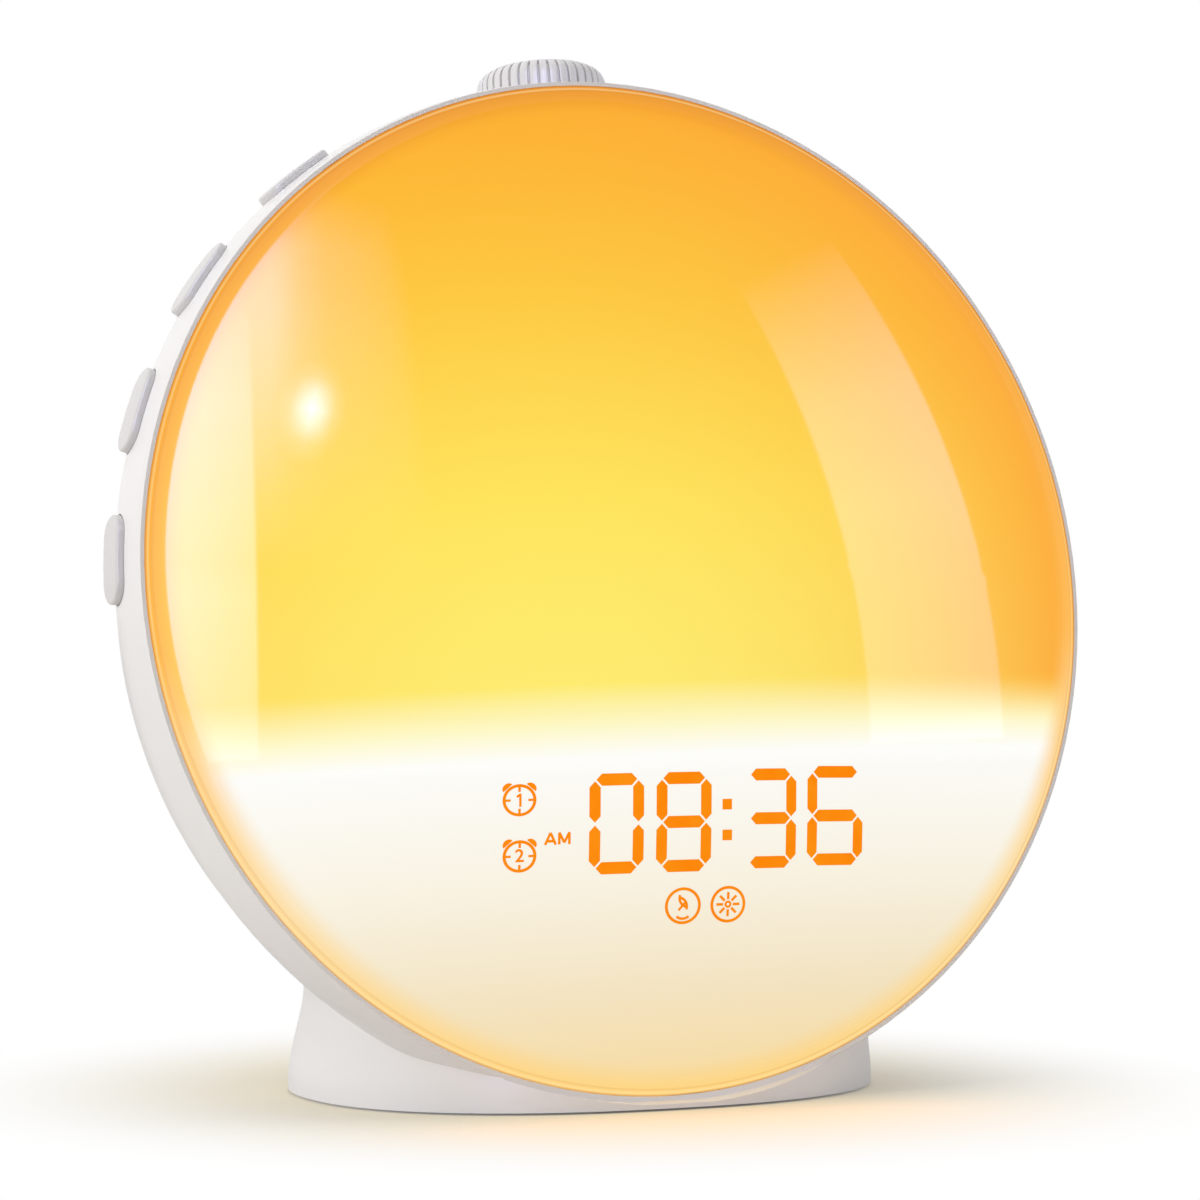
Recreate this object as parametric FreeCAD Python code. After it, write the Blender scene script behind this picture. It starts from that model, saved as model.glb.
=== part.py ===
import FreeCAD, Part
import math
import os

# Sunrise alarm clock: a round glowing face that leans back on an oval foot.
#
# World frame, in millimetres: +Z up, the face looks along -Y, and the origin
# is the middle of the foot pad on the table.
# Head frame: the origin is the middle of the face's edge circle, +Y runs back
# along the drum's axis and +Z up in the plane of the face. A point's place
# there is given by its angle from +X, its radius and its depth.

V = FreeCAD.Vector

# Face and drum
LEAN = 9.0
FACE_R = 90.0
FACE_HEIGHT = 90.9
FACE_FORWARD = 21.6
DRUM_DEPTH = 48.0
WALL = 2.2
LIP = 1.1
CREST_DEPTH = 9.0
CREST_RISE = 1.8
EDGE_BREAK = 0.3
WEB_T = 2.0
PILOT_FLOOR = 2.0
OVERCUT = 1.0
FAR = 4 * FACE_R
COVER_SEAM = 38.0
COVER_CHORD = 50.0
SEAM_GAP = 0.15
FIT = 0.1
LOOSE = 0.4

# Lens and what is stacked behind it
LENS_RISE = 17.0
LENS_T = 2.2
LENS_STEP = 0.9
LENS_STEP_DEPTH = 0.6
LENS_FLANGE = 4.0
SEAL_T = 0.8
SEAL_W = 4.4
LEDGE_T = 2.2
LEDGE_R = 80.5
TRAY_T = 1.5
TRAY_R = 86.3
TRAY_FLAT_R = 66.0
TRAY_DEPTH = 13.0
BOARD_T = 1.6
LED_L, LED_W, LED_T = 3.5, 2.8, 1.2
LED_RINGS = ((22.0, 8), (42.0, 14), (58.0, 20))
LED_BOARD_R = 64.0

# Time display
DISPLAY_X, DISPLAY_Z = 2.5, -46.5
DISPLAY_W, DISPLAY_H = 75.0, 31.0
DISPLAY_FRONT = -3.0
SHROUD_T = 1.2
DIGIT_W, DIGIT_H = 10.0, 17.4
DIGIT_PITCHES = (-11.2, 2.4, 19.6, 31.8)
DIGIT_Z = -42.3
COLON_X = 11.6
COLON_SPACING = 6.0
SEGMENT_T = 1.9
SEGMENT_GAP = 0.5

# Foot
FOOT_A, FOOT_B = 53.3, 40.6
OVAL_POWER = 2.3
PLATE_GAP = 0.4
PLATE_T = 0.8
SPIGOT_H = 2.0
PLATE_PLAY = 0.75
PAD_A, PAD_B, PAD_T = 43.0, 27.0, 1.0
FOOT_CUT_L, FOOT_CUT_SPREAD = 30.0, 4.5
OVAL_POINTS = 32
POST_R = 3.2
POST_H = 8.8
POSTS = ((38.0, -8.0), (36.0, 18.0))
BALLAST_L, BALLAST_D, BALLAST_H = 52.0, 24.0, 8.0
BALLAST_Y, BALLAST_EDGE = 4.0, 2.0

# Side buttons
BUTTON_ANGLES = (3.2, 19.7, 36.2, 52.7)
BUTTON_DEPTH = 9.7
BUTTON_L, BUTTON_W = 15.4, 7.2
BUTTON_PROUD = 1.3
BUTTON_GAP = 0.2
BUTTON_TRAVEL = 0.8
BUTTON_FLANGE = 1.0
BUTTON_FLANGE_T = 0.7
BUTTON_EDGE = 0.5
STEM_L, STEM_W = 4.0, 1.6
STEM_REACH = 1.3
SWITCH_L, SWITCH_D, SWITCH_H = 6.0, 4.0, 4.3
NUB_R, NUB_H, NUB_OFF = 0.8, 0.8, 0.4
BUTTON_BOARD_W = 8.0
BOARD_MARGIN = 5.0
LUG_ANGLES = (11.5, 44.4)
LUG_T, LUG_L, LUG_W = 3.5, 8.0, 5.0
LUG_REACH = 7.0
BOARD_BEHIND_BUTTON = 3.3
SLOT_IN, SLOT_OUT = 10.0, 4.0

# Knob on top
KNOB_DEPTH = 25.0
KNOB_TOP = 99.2
KNOB_BASE_R, KNOB_TOP_R = 12.0, 11.1
KNOB_H = 6.8
KNOB_EDGE = 1.3
KNOB_RIBS = 48
RIB_GAP_W, RIB_GAP_D = 0.55, 0.5
KNOB_HUB_R = 5.2
KNOB_ROOF, KNOB_WALL = 2.2, 2.0
PRESS_TRAVEL = 0.6
SEAT_GAP = 0.8
SEAT_MARGIN, SEAT_FLARE, SEAT_H = 0.8, 4.0, 8.0
SHAFT_R = 3.0
SLEEVE_T = 0.9
ENCODER_W, ENCODER_H = 12.5, 6.0
ENCODER_TOP = 77.6
BUSHING_R = 4.4
BUSHING_TOP = 82.0
SHAFT_PLAY = 0.05
SHAFT_FLOOR = 2.0
ENCODER_BOARD_W = 25.0
ENCODER_POST_X = 9.5
ENCODER_POST_R = 2.2

# Main board and sockets
MAIN_W, MAIN_H = 90.0, 46.0
MAIN_Z = -27.0
STANDOFF_H, STANDOFF_R = 4.0, 2.5
CAP_R, CAP_H = 4.0, 9.0
RECESS_W, RECESS_H = 62.0, 16.0
RECESS_Z = -36.0
RECESS_FLOOR = 43.0
DC_X, USB_X = -17.0, 14.0
DC_BODY = 11.0
DC_RIM_R, DC_BORE_R, DC_PIN_R = 4.4, 3.15, 1.0
DC_BORE_L = 10.0
PIN_SUNK = 1.0
USB_W, USB_H, USB_T = 13.1, 5.7, 0.35
USB_L = 15.0
TONGUE_W, TONGUE_T, TONGUE_Z, TONGUE_SUNK = 10.9, 1.8, 1.0, 1.5
USB_FOOT_W = 11.1

# Speaker
SPEAKER_Z = 27.0
SPEAKER_R = 20.0
SPEAKER_FACE = 43.5
SPEAKER_RIM_T = 1.5
GASKET_T, GASKET_W = 1.0, 5.4
SPEAKER_BOSS_W = 6.0
CONE_R = 13.6
CONE_NECK_R = 4.0
CONE_DEPTH = 5.0
CONE_T = 0.5
CONE_SUNK = 0.8
MAGNET_R, MAGNET_H = 11.0, 7.0
BASKET_DEPTH = 9.0
SPEAKER_SCREW_R = 17.3
SPEAKER_SCREWS = (45.0, 135.0, 225.0, 315.0)
BASKET_T = 1.0
WINDOW_L, WINDOW_H, WINDOW_W = 4.0, 3.6, 6.0
GRILLE_RINGS = ((0.0, 1), (4.0, 6), (8.0, 12), (12.0, 18))
GRILLE_HOLE_R = 1.1

# Back-up battery
BATTERY_X, BATTERY_Z = -44.0, 2.0
DOOR_R = 12.5
DOOR_T = 3.0
BACK_FALL = 1.5
DOOR_SLOT_L, DOOR_SLOT_W, DOOR_SLOT_D = 12.0, 1.8, 1.0
CELL_R, CELL_T = 10.0, 3.2
HOLDER_WALL = 1.3
HOLDER_FLOOR = 1.4
CONTACT_R, CONTACT_T = 6.0, 0.3
CELL_EDGE = 0.3

# Screws
M3_HEAD_R, M3_HEAD_H, M3_R = 2.8, 1.3, 1.45
M2_HEAD_R, M2_HEAD_H, M2_R = 1.9, 1.1, 0.95
SCREW_PLAY = 0.25
COVER_SCREWS = (50.0, 130.0, 215.0, 325.0)
COVER_SCREW_R = 76.0
COVER_POST_L = 14.0
COVER_SCREW_BITE = 10.0
SPIGOT_PLAY, SPIGOT_T = 1.2, 1.4
SPIGOT_FRONT, SPIGOT_BACK = 2.0, 3.0
SPIGOT_SHORT = 12.0
TRAY_SCREWS = (70.0, 110.0, 195.0, 345.0, 240.0, 300.0)
TRAY_SCREW_R = 83.4

# Places that follow from the sizes above
SEAT_DEPTH = LENS_FLANGE + SEAL_T
SPEAKER_SCREW_TIP = DRUM_DEPTH - 2.0
LEDGE_BACK = SEAT_DEPTH + LEDGE_T
TRAY_FLOOR = LEDGE_BACK + TRAY_DEPTH
LED_FACE = TRAY_FLOOR - TRAY_T - BOARD_T
MAIN_FACE = TRAY_FLOOR + STANDOFF_H
MAIN_BACK = MAIN_FACE + BOARD_T
PLATE_TOP = PLATE_GAP + PLATE_T
SPIGOT_TOP = PLATE_TOP + SPIGOT_H
KNOB_BOTTOM = KNOB_TOP - KNOB_H
SEAT_TOP = KNOB_BOTTOM - SEAT_GAP
CREST_R = FACE_R + CREST_RISE
INNER_CREST = CREST_R - WALL
FLANGE_TOP = INNER_CREST - 1.2
SHOULDER = FACE_R - 8.2
BUTTON_BOARD_FRONT = BUTTON_DEPTH + BOARD_BEHIND_BUTTON
ENCODER_BOTTOM = ENCODER_TOP - ENCODER_H
SPEAKER_RIM = SPEAKER_FACE - SPEAKER_RIM_T
BASKET_FLOOR = SPEAKER_FACE - BASKET_DEPTH
SOCKET_BACK = RECESS_FLOOR - WALL
SWITCH_TIP = FLANGE_TOP - BUTTON_FLANGE_T - BUTTON_TRAVEL - BUTTON_GAP - STEM_REACH
HOLDER_FRONT = DRUM_DEPTH - DOOR_T - BACK_FALL - BUTTON_GAP - CELL_T - CONTACT_T - HOLDER_FLOOR

# The drum's outline from the lip to the middle of its back
WALL_LINE = ((1.0, FACE_R + LIP), (6.0, CREST_R - 0.1), (CREST_DEPTH, CREST_R), (16.0, FACE_R + 0.1),
             (25.0, FACE_R - 3.3), (COVER_SEAM, SHOULDER))
BACK_LINE = ((DRUM_DEPTH - 5.4, FACE_R - 14.0), (DRUM_DEPTH - 2.4, FACE_R - 24.0), (DRUM_DEPTH - 0.6, FACE_R - 50.0))

# The foot's sections: height, half width, front edge, rear edge
FOOT_LINE = ((PLATE_GAP, FOOT_A, -FOOT_B, FOOT_B),
             (8.0, FOOT_A - 0.6, -FOOT_B + 0.2, FOOT_B - 0.6),
             (15.0, FOOT_A - 1.0, -FOOT_B + 0.6, FOOT_B - 5.6),
             (20.0, FOOT_A - 0.1, -FOOT_B + 0.8, FOOT_B - 11.1),
             (25.0, FOOT_A + 3.2, -FOOT_B + 1.1, FOOT_B - 16.6),
             (30.0, FOOT_A + 8.0, -FOOT_B + 1.6, FOOT_B - 21.6),
             (36.0, FOOT_A + 6.0, -FOOT_B + 2.1, FOOT_B - 28.6),
             (48.0, FOOT_A - 8.0, -FOOT_B + 3.6, FOOT_B - 38.6))


def to_world(shape):
    """Take a head-frame shape to its leaning place over the foot."""
    placed = shape.copy()
    placed.rotate(V(0, 0, 0), V(1, 0, 0), -LEAN)
    placed.translate(V(0, -FACE_FORWARD, FACE_HEIGHT))
    return placed


def rod(radius, start, end, x=0.0, z=0.0):
    """Cylinder along the drum's axis from one depth to another."""
    return Part.makeCylinder(radius, end - start, V(x, start, z), V(0, 1, 0))


def tube(outer, inner, start, end, x=0.0, z=0.0):
    return rod(outer, start, end, x, z).cut(rod(inner, start - OVERCUT, end + OVERCUT, x, z))


def block(width, height, start, end, x=0.0, z=0.0):
    """Box centred on x and z, from one depth to another."""
    return Part.makeBox(width, end - start, height, V(x - width / 2, start, z - height / 2))


def upright(radius, bottom, top, x=0.0, y=0.0):
    return Part.makeCylinder(radius, top - bottom, V(x, y, bottom))


def spun(points, x=0.0, z=0.0):
    """Turn a closed outline of (radius, depth) points about the drum's direction."""
    wire = Part.makePolygon([V(r, d, 0) for r, d in points + points[:1]])
    solid = Part.Face(wire).revolve(V(0, 0, 0), V(0, 1, 0), 360)
    solid.translate(V(x, 0, z))
    return solid


def polar(angle, radius):
    turn = math.radians(angle)
    return radius * math.cos(turn), radius * math.sin(turn)


def fused(shapes):
    return shapes[0].multiFuse(shapes[1:]) if len(shapes) > 1 else shapes[0]


def inset(line, depth):
    """Move an outline of (depth, radius) points square to itself, into the material."""
    moved = []
    for i, (d, r) in enumerate(line):
        before = line[max(i - 1, 0)]
        after = line[min(i + 1, len(line) - 1)]
        run = math.hypot(after[0] - before[0], after[1] - before[1])
        moved.append((d + depth * (after[1] - before[1]) / run, r - depth * (after[0] - before[0]) / run))
    return moved


def drum_solid(depth=0.0):
    """The drum's full outline as one solid, or the same outline inset by a wall."""
    line = inset(WALL_LINE + BACK_LINE, depth)
    back = V(0, DRUM_DEPTH - depth, 0)
    start = V(line[0][1], line[0][0], 0)
    curve = Part.BSplineCurve()
    curve.interpolate([V(r, d, 0) for d, r in line] + [back], FinalTangent=V(-1, 0, 0), InitialTangent=V(0.1, 1, 0))
    corner = V(start.x - EDGE_BREAK, 0, 0)
    edges = [curve.toShape(), Part.makeLine(back, V(0, 0, 0)), Part.makeLine(V(0, 0, 0), corner),
             Part.makeLine(corner, start)]
    return Part.Face(Part.Wire(edges)).revolve(V(0, 0, 0), V(0, 1, 0), 360)


def oval(half_x, front, rear, height):
    """Superellipse wire at a height, between a front and a rear edge."""
    middle, half_y = (front + rear) / 2, (rear - front) / 2
    points = []
    for k in range(OVAL_POINTS):
        turn = 2 * math.pi * k / OVAL_POINTS
        across = math.copysign(abs(math.cos(turn)) ** (2 / OVAL_POWER), math.cos(turn))
        along = math.copysign(abs(math.sin(turn)) ** (2 / OVAL_POWER), math.sin(turn))
        points.append(V(half_x * across, middle + half_y * along, height))
    curve = Part.BSplineCurve()
    curve.interpolate(points, PeriodicFlag=True)
    return Part.Wire([curve.toShape()])


def oval_plate(half_x, half_y, bottom, top):
    return Part.Face(oval(half_x, -half_y, half_y, bottom)).extrude(V(0, 0, top - bottom))


def foot_solid(depth=0.0):
    """The foot's flaring body, or the same body inset by a wall."""
    sections = [oval(a - depth, front + depth, rear - depth, z) for z, a, front, rear in FOOT_LINE]
    return Part.makeLoft(sections, True, False)


def behind(depth):
    """Everything behind a depth of the head frame, in the world frame."""
    return to_world(block(FAR, FAR, depth, depth + FAR))


def above(height):
    return Part.makeBox(FAR, FAR, FAR, V(-FAR / 2, -FAR / 2, height))


def radial(shape, angle):
    """Turn a piece made along +X of the head frame to an angle round the drum."""
    turned = shape.copy()
    turned.rotate(V(0, 0, 0), V(0, 1, 0), -angle)
    return turned


def stadium(length, width, inner, outer):
    """Long round-ended block along +X of the head frame, length along +Z."""
    straight = length - width
    core = Part.makeBox(outer - inner, width, straight, V(inner, BUTTON_DEPTH - width / 2, -straight / 2))
    ends = [Part.makeCylinder(width / 2, outer - inner, V(inner, BUTTON_DEPTH, side * straight / 2), V(1, 0, 0))
            for side in (-1, 1)]
    return fused([core] + ends).removeSplitter()


def cover_zone(gap=0.0):
    """The part of the drum's back that lifts off: behind the seam and above a chord."""
    return Part.makeBox(FAR, FAR, FAR, V(-FAR / 2, COVER_SEAM + gap, -COVER_CHORD + gap))


def both_sides(angles):
    return list(angles) + [180 - a for a in angles]


def cover_post_places():
    return [polar(a, COVER_SCREW_R) for a in COVER_SCREWS]


def knob_axis_rod(radius, bottom, top, x=0.0):
    """Cylinder along the knob's axis, in the head frame."""
    return Part.makeCylinder(radius, top - bottom, V(x, KNOB_DEPTH, bottom))


def housing():
    """Moulded shell: drum wall, lip, lens ledge, knob seat and flaring foot in one piece."""
    bore = rod(FACE_R + FIT, -OVERCUT, SEAT_DEPTH)
    throat = rod(LEDGE_R, SEAT_DEPTH - OVERCUT, LEDGE_BACK + OVERCUT)
    seat_r = KNOB_BASE_R + SEAT_MARGIN
    seat = Part.makeCone(seat_r + SEAT_FLARE, seat_r, SEAT_H, V(0, KNOB_DEPTH, SEAT_TOP - SEAT_H))
    seat = seat.common(behind_ledge())
    front_r = FACE_R + LIP
    front_cut = Part.makeCone(front_r, front_r + FOOT_CUT_SPREAD, FOOT_CUT_L, V(0, 0, 0), V(0, -1, 0))
    foot = foot_solid().cut(to_world(front_cut))
    outer = fused([to_world(drum_solid()), foot, to_world(seat)])
    drum_hollow = drum_solid(WALL).common(block(FAR, FAR, LEDGE_BACK, DRUM_DEPTH))
    foot_hollow = foot_solid(WALL).common(behind(LEDGE_BACK))
    shell = outer.common(above(PLATE_TOP))
    shell = shell.cut(fused([to_world(fused([bore, throat])), to_world(drum_hollow), foot_hollow]))
    shell = shell.cut(to_world(cover_zone()))
    ribs = fused([to_world(s) for s in cover_posts() + encoder_posts() + board_lugs()] + foot_posts())
    shell = shell.fuse(ribs.common(outer))
    return shell.cut(fused([to_world(s) for s in housing_cuts()] + foot_pilot_holes()))


def behind_ledge():
    """Upper half space behind the lens ledge, in the head frame."""
    return Part.makeBox(FAR, FAR, FAR, V(-FAR / 2, LEDGE_BACK, 0))


def cover_posts():
    posts = []
    for x, z in cover_post_places():
        angle = math.degrees(math.atan2(z, x))
        post = rod(POST_R, COVER_SEAM - COVER_POST_L, COVER_SEAM, x, z)
        web = Part.makeBox(FACE_R - COVER_SCREW_R, COVER_POST_L, WEB_T,
                           V(COVER_SCREW_R, COVER_SEAM - COVER_POST_L, -WEB_T / 2))
        posts.append(post.fuse(radial(web, angle)).common(drum_solid(WALL / 2)))
    return posts


def encoder_posts():
    posts = [knob_axis_rod(ENCODER_POST_R, ENCODER_BOTTOM, INNER_CREST, side * ENCODER_POST_X) for side in (-1, 1)]
    return [post.common(drum_solid(WALL / 2)) for post in posts]


def board_lugs():
    lugs = []
    for angle in both_sides(LUG_ANGLES):
        lug = Part.makeBox(LUG_L, LUG_T, LUG_W, V(INNER_CREST - LUG_REACH, BUTTON_BOARD_FRONT - LUG_T, -LUG_W / 2))
        lugs.append(radial(lug, angle).common(drum_solid(WALL / 2)))
    return lugs


def foot_posts():
    posts = []
    for px, py in POSTS:
        for side in (-1, 1):
            post = upright(POST_R, SPIGOT_TOP, SPIGOT_TOP + POST_H, side * px, py)
            web = Part.makeBox(FOOT_A - px, WEB_T, POST_H, V(px, py - WEB_T / 2, SPIGOT_TOP))
            if side < 0:
                web = web.mirror(V(0, 0, 0), V(1, 0, 0))
            posts.append(post.fuse(web))
    return posts


def foot_pilot_holes():
    top = SPIGOT_TOP + POST_H - PILOT_FLOOR
    return [upright(M3_R, 0, top, side * x, y) for x, y in POSTS for side in (-1, 1)]


def housing_cuts():
    """Button slots with their pockets, shaft hole, and pilot holes for the screws."""
    cuts = []
    slot_in = INNER_CREST - SLOT_IN
    for angle in both_sides(BUTTON_ANGLES):
        play = 2 * BUTTON_GAP
        slot = stadium(BUTTON_L + play, BUTTON_W + play, slot_in, CREST_R + SLOT_OUT)
        grow = play + 2 * BUTTON_FLANGE
        pocket = stadium(BUTTON_L + grow, BUTTON_W + grow, slot_in, FLANGE_TOP + LOOSE)
        cuts.append(radial(slot.fuse(pocket), angle))
    cuts.append(knob_axis_rod(SHAFT_R + SLEEVE_T + BUTTON_GAP, slot_in, SEAT_TOP + OVERCUT))
    for x, z in cover_post_places():
        cuts.append(rod(M3_R, COVER_SEAM - COVER_POST_L + PILOT_FLOOR, COVER_SEAM + OVERCUT, x, z))
    for angle in TRAY_SCREWS:
        x, z = polar(angle, TRAY_SCREW_R)
        cuts.append(rod(M2_R, SEAT_DEPTH + LOOSE, LEDGE_BACK + OVERCUT, x, z))
    return cuts


def rear_cover():
    """Dished back with the speaker grille, the socket recess and the battery opening."""
    zone = cover_zone(SEAM_GAP)
    skin = drum_solid().cut(drum_solid(WALL)).common(zone)
    inside = drum_solid(WALL * 0.9).common(zone)
    spigot_r = SHOULDER - WALL - FIT - SPIGOT_PLAY
    spigot_front = COVER_SEAM - SPIGOT_FRONT
    spigot = tube(spigot_r, spigot_r - SPIGOT_T, spigot_front, COVER_SEAM + SPIGOT_BACK)
    spigot = spigot.common(block(FAR, FAR, spigot_front, DRUM_DEPTH, 0, FAR / 2 - COVER_CHORD + SPIGOT_SHORT))
    post_room = [rod(POST_R + LOOSE, 0, COVER_SEAM + SEAM_GAP, x, z) for x, z in cover_post_places()]
    spigot = spigot.cut(fused(post_room))
    boss_ring = tube(SPEAKER_R, SPEAKER_R - SPEAKER_BOSS_W, SPEAKER_FACE + GASKET_T, DRUM_DEPTH, 0, SPEAKER_Z)
    boss_ring = boss_ring.common(inside)
    posts = [rod(POST_R, COVER_SEAM + SEAM_GAP, DRUM_DEPTH, x, z).common(inside) for x, z in cover_post_places()]
    box = block(RECESS_W + 2 * WALL, RECESS_H + 2 * WALL, SOCKET_BACK, DRUM_DEPTH, 0, RECESS_Z).common(drum_solid())
    body = fused([skin, spigot.common(drum_solid(WALL + FIT)), boss_ring, box] + posts)
    floor_back = RECESS_FLOOR + OVERCUT
    drum_back = DRUM_DEPTH + OVERCUT
    cuts = [block(RECESS_W, RECESS_H, RECESS_FLOOR, drum_back, 0, RECESS_Z),
            rod(DC_RIM_R + FIT, SOCKET_BACK - OVERCUT, floor_back, DC_X, RECESS_Z),
            block(USB_W + 2 * FIT, USB_H + 2 * FIT, SOCKET_BACK - OVERCUT, floor_back, USB_X, RECESS_Z),
            rod(DOOR_R + BUTTON_GAP, COVER_SEAM, drum_back, BATTERY_X, BATTERY_Z)]
    for x, z in cover_post_places():
        cuts.append(rod(M3_R + SCREW_PLAY, COVER_SEAM - OVERCUT, DRUM_DEPTH, x, z))
        cuts.append(rod(M3_HEAD_R + SCREW_PLAY, COVER_SEAM + WALL, DRUM_DEPTH, x, z))
    for ring, count in GRILLE_RINGS:
        for k in range(count):
            x, z = polar(360 * k / count, ring)
            cuts.append(rod(GRILLE_HOLE_R, COVER_SEAM, drum_back, x, SPEAKER_Z + z))
    for x, z in speaker_screw_places():
        cuts.append(rod(M2_R, SPEAKER_FACE, SPEAKER_SCREW_TIP + FIT, x, z))
    return body.cut(fused(cuts)).removeSplitter()


def front_diffuser():
    """Domed lens with a stepped edge and a flange that seats in the lip."""
    edge = FACE_R - LENS_STEP
    outer = dome_arc(edge, -LENS_STEP_DEPTH, LENS_RISE)
    inner = dome_arc(FACE_R - LENS_T, 1.0, LENS_RISE - LENS_T + 1.0)
    top = V(0, -LENS_RISE - LENS_STEP_DEPTH, 0)
    under = V(0, LENS_T - LENS_RISE, 0)
    points = [V(edge, -LENS_STEP_DEPTH, 0), V(edge, 0, 0), V(FACE_R, 0, 0), V(FACE_R, LENS_FLANGE, 0),
              V(FACE_R - LENS_T, LENS_FLANGE, 0), V(FACE_R - LENS_T, 1.0, 0)]
    edges = [Part.makeLine(points[i], points[i + 1]) for i in range(len(points) - 1)]
    edges += [inner, Part.makeLine(under, top), outer]
    wire = Part.Wire(Part.__sortEdges__(edges))
    return Part.Face(wire).revolve(V(0, 0, 0), V(0, 1, 0), 360)


def dome_arc(radius, depth, rise):
    """Arc in the XY plane from the dome's edge to its crown, bulging to -Y."""
    ball = (radius ** 2 + rise ** 2) / (2 * rise)
    half = math.asin(radius / ball) / 2
    middle = V(ball * math.sin(half), depth - rise + ball * (1 - math.cos(half)), 0)
    return Part.Arc(V(radius, depth, 0), middle, V(0, depth - rise, 0)).toShape()


def lens_seal():
    outer = FACE_R - 0.4
    return tube(outer, outer - SEAL_W, LENS_FLANGE, SEAT_DEPTH)


def light_tray():
    """Shallow white bowl that carries the light board."""
    inner_top = LEDGE_R - TRAY_T
    outline = [(TRAY_R, LEDGE_BACK), (TRAY_R, LEDGE_BACK + TRAY_T), (LEDGE_R, LEDGE_BACK + TRAY_T),
               (TRAY_FLAT_R, TRAY_FLOOR), (0, TRAY_FLOOR), (0, TRAY_FLOOR - TRAY_T),
               (TRAY_FLAT_R - TRAY_T / 2, TRAY_FLOOR - TRAY_T), (inner_top, LEDGE_BACK)]
    holes = [rod(M2_R + SCREW_PLAY, LEDGE_BACK - OVERCUT, LEDGE_BACK + TRAY_T + OVERCUT, *polar(a, TRAY_SCREW_R))
             for a in TRAY_SCREWS]
    return spun(outline).cut(fused(holes))


def in_display(x, z, margin):
    across = abs(x - DISPLAY_X) < DISPLAY_W / 2 + margin
    return across and abs(z - DISPLAY_Z) < DISPLAY_H / 2 + margin


def led_board():
    return rod(LED_BOARD_R, LED_FACE, LED_FACE + BOARD_T)


def led_emitters():
    leds = []
    for ring, count in LED_RINGS:
        for k in range(count):
            x, z = polar(360 * k / count, ring)
            if not in_display(x, z, LED_L):
                leds.append(block(LED_L, LED_W, LED_FACE - LED_T, LED_FACE, x, z))
    return Part.makeCompound(leds)


def display_shroud():
    """Open frame, trimmed to the bowl, that keeps the glow of the face away from the digits."""
    frame = block(DISPLAY_W, DISPLAY_H, DISPLAY_FRONT, LED_FACE, DISPLAY_X, DISPLAY_Z)
    inside = block(DISPLAY_W - 2 * SHROUD_T, DISPLAY_H - 2 * SHROUD_T, DISPLAY_FRONT - OVERCUT, LED_FACE + OVERCUT,
                   DISPLAY_X, DISPLAY_Z)
    bowl_top = LEDGE_R - TRAY_T - LOOSE
    bowl = spun([(0, DISPLAY_FRONT), (bowl_top, DISPLAY_FRONT), (bowl_top, LEDGE_BACK - LOOSE),
                 (TRAY_FLAT_R - TRAY_T / 2 - LOOSE, TRAY_FLOOR - TRAY_T - LOOSE), (0, TRAY_FLOOR - TRAY_T - LOOSE)])
    return frame.cut(inside).common(bowl)


def segment_places():
    """Middle, width and height of each bar of one digit, from the digit's middle."""
    reach_x, reach_z = (DIGIT_W - SEGMENT_T) / 2, (DIGIT_H - SEGMENT_T) / 2
    flat = DIGIT_W - 2 * SEGMENT_T - SEGMENT_GAP
    tall = DIGIT_H / 2 - 1.5 * SEGMENT_T - SEGMENT_GAP
    bars = [(0, z, flat, SEGMENT_T) for z in (-reach_z, 0, reach_z)]
    bars += [(x, z, SEGMENT_T, tall) for x in (-reach_x, reach_x) for z in (-reach_z / 2, reach_z / 2)]
    return bars


def display_light_guides():
    """Clear bars that carry the light of each digit segment up to the lens."""
    guides = []
    for digit_x in DIGIT_PITCHES:
        for x, z, width, height in segment_places():
            guides.append(block(width, height, DISPLAY_FRONT - OVERCUT, LED_FACE, digit_x + x, DIGIT_Z + z))
    for side in (-0.5, 0.5):
        dot_z = DIGIT_Z + side * COLON_SPACING
        guides.append(block(SEGMENT_T, SEGMENT_T, DISPLAY_FRONT - OVERCUT, LED_FACE, COLON_X, dot_z))
    return Part.makeCompound(guides)


def main_board():
    return block(MAIN_W, MAIN_H, MAIN_FACE, MAIN_BACK, 0, MAIN_Z)


def board_standoffs():
    places = [(side * (MAIN_W / 2 - 5), MAIN_Z + end * (MAIN_H / 2 - 5)) for side in (-1, 1) for end in (-1, 1)]
    return Part.makeCompound([rod(STANDOFF_R, TRAY_FLOOR, MAIN_FACE, x, z) for x, z in places])


def main_chips():
    chips = [block(12, 12, MAIN_BACK, MAIN_BACK + 1.2, 8, -14), block(9, 7, MAIN_BACK, MAIN_BACK + 1.5, 30, -14),
             block(8, 5, MAIN_BACK, MAIN_BACK + 1.5, -30, -40), block(7, 3, MAIN_BACK, MAIN_BACK + 3.0, 36, -40)]
    return Part.makeCompound(chips)


def capacitors():
    return Part.makeCompound([rod(CAP_R, MAIN_BACK, MAIN_BACK + CAP_H, x, -13) for x in (-8.0, -18.0, -28.0)])


def dc_jack():
    """Socket body with its round mouth in the recess floor."""
    body = block(DC_BODY, DC_BODY, MAIN_BACK, SOCKET_BACK, DC_X, RECESS_Z)
    mouth = rod(DC_RIM_R, SOCKET_BACK, RECESS_FLOOR, DC_X, RECESS_Z)
    bore = rod(DC_BORE_R, RECESS_FLOOR - DC_BORE_L, RECESS_FLOOR + OVERCUT, DC_X, RECESS_Z)
    return body.fuse(mouth).cut(bore)


def dc_pin():
    end = RECESS_FLOOR - PIN_SUNK
    pin = rod(DC_PIN_R, RECESS_FLOOR - DC_BORE_L, end, DC_X, RECESS_Z)
    tip = [e for e in pin.Edges if abs(e.CenterOfMass.y - end) < 0.01]
    return pin.makeFillet(DC_PIN_R / 2, tip)


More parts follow.
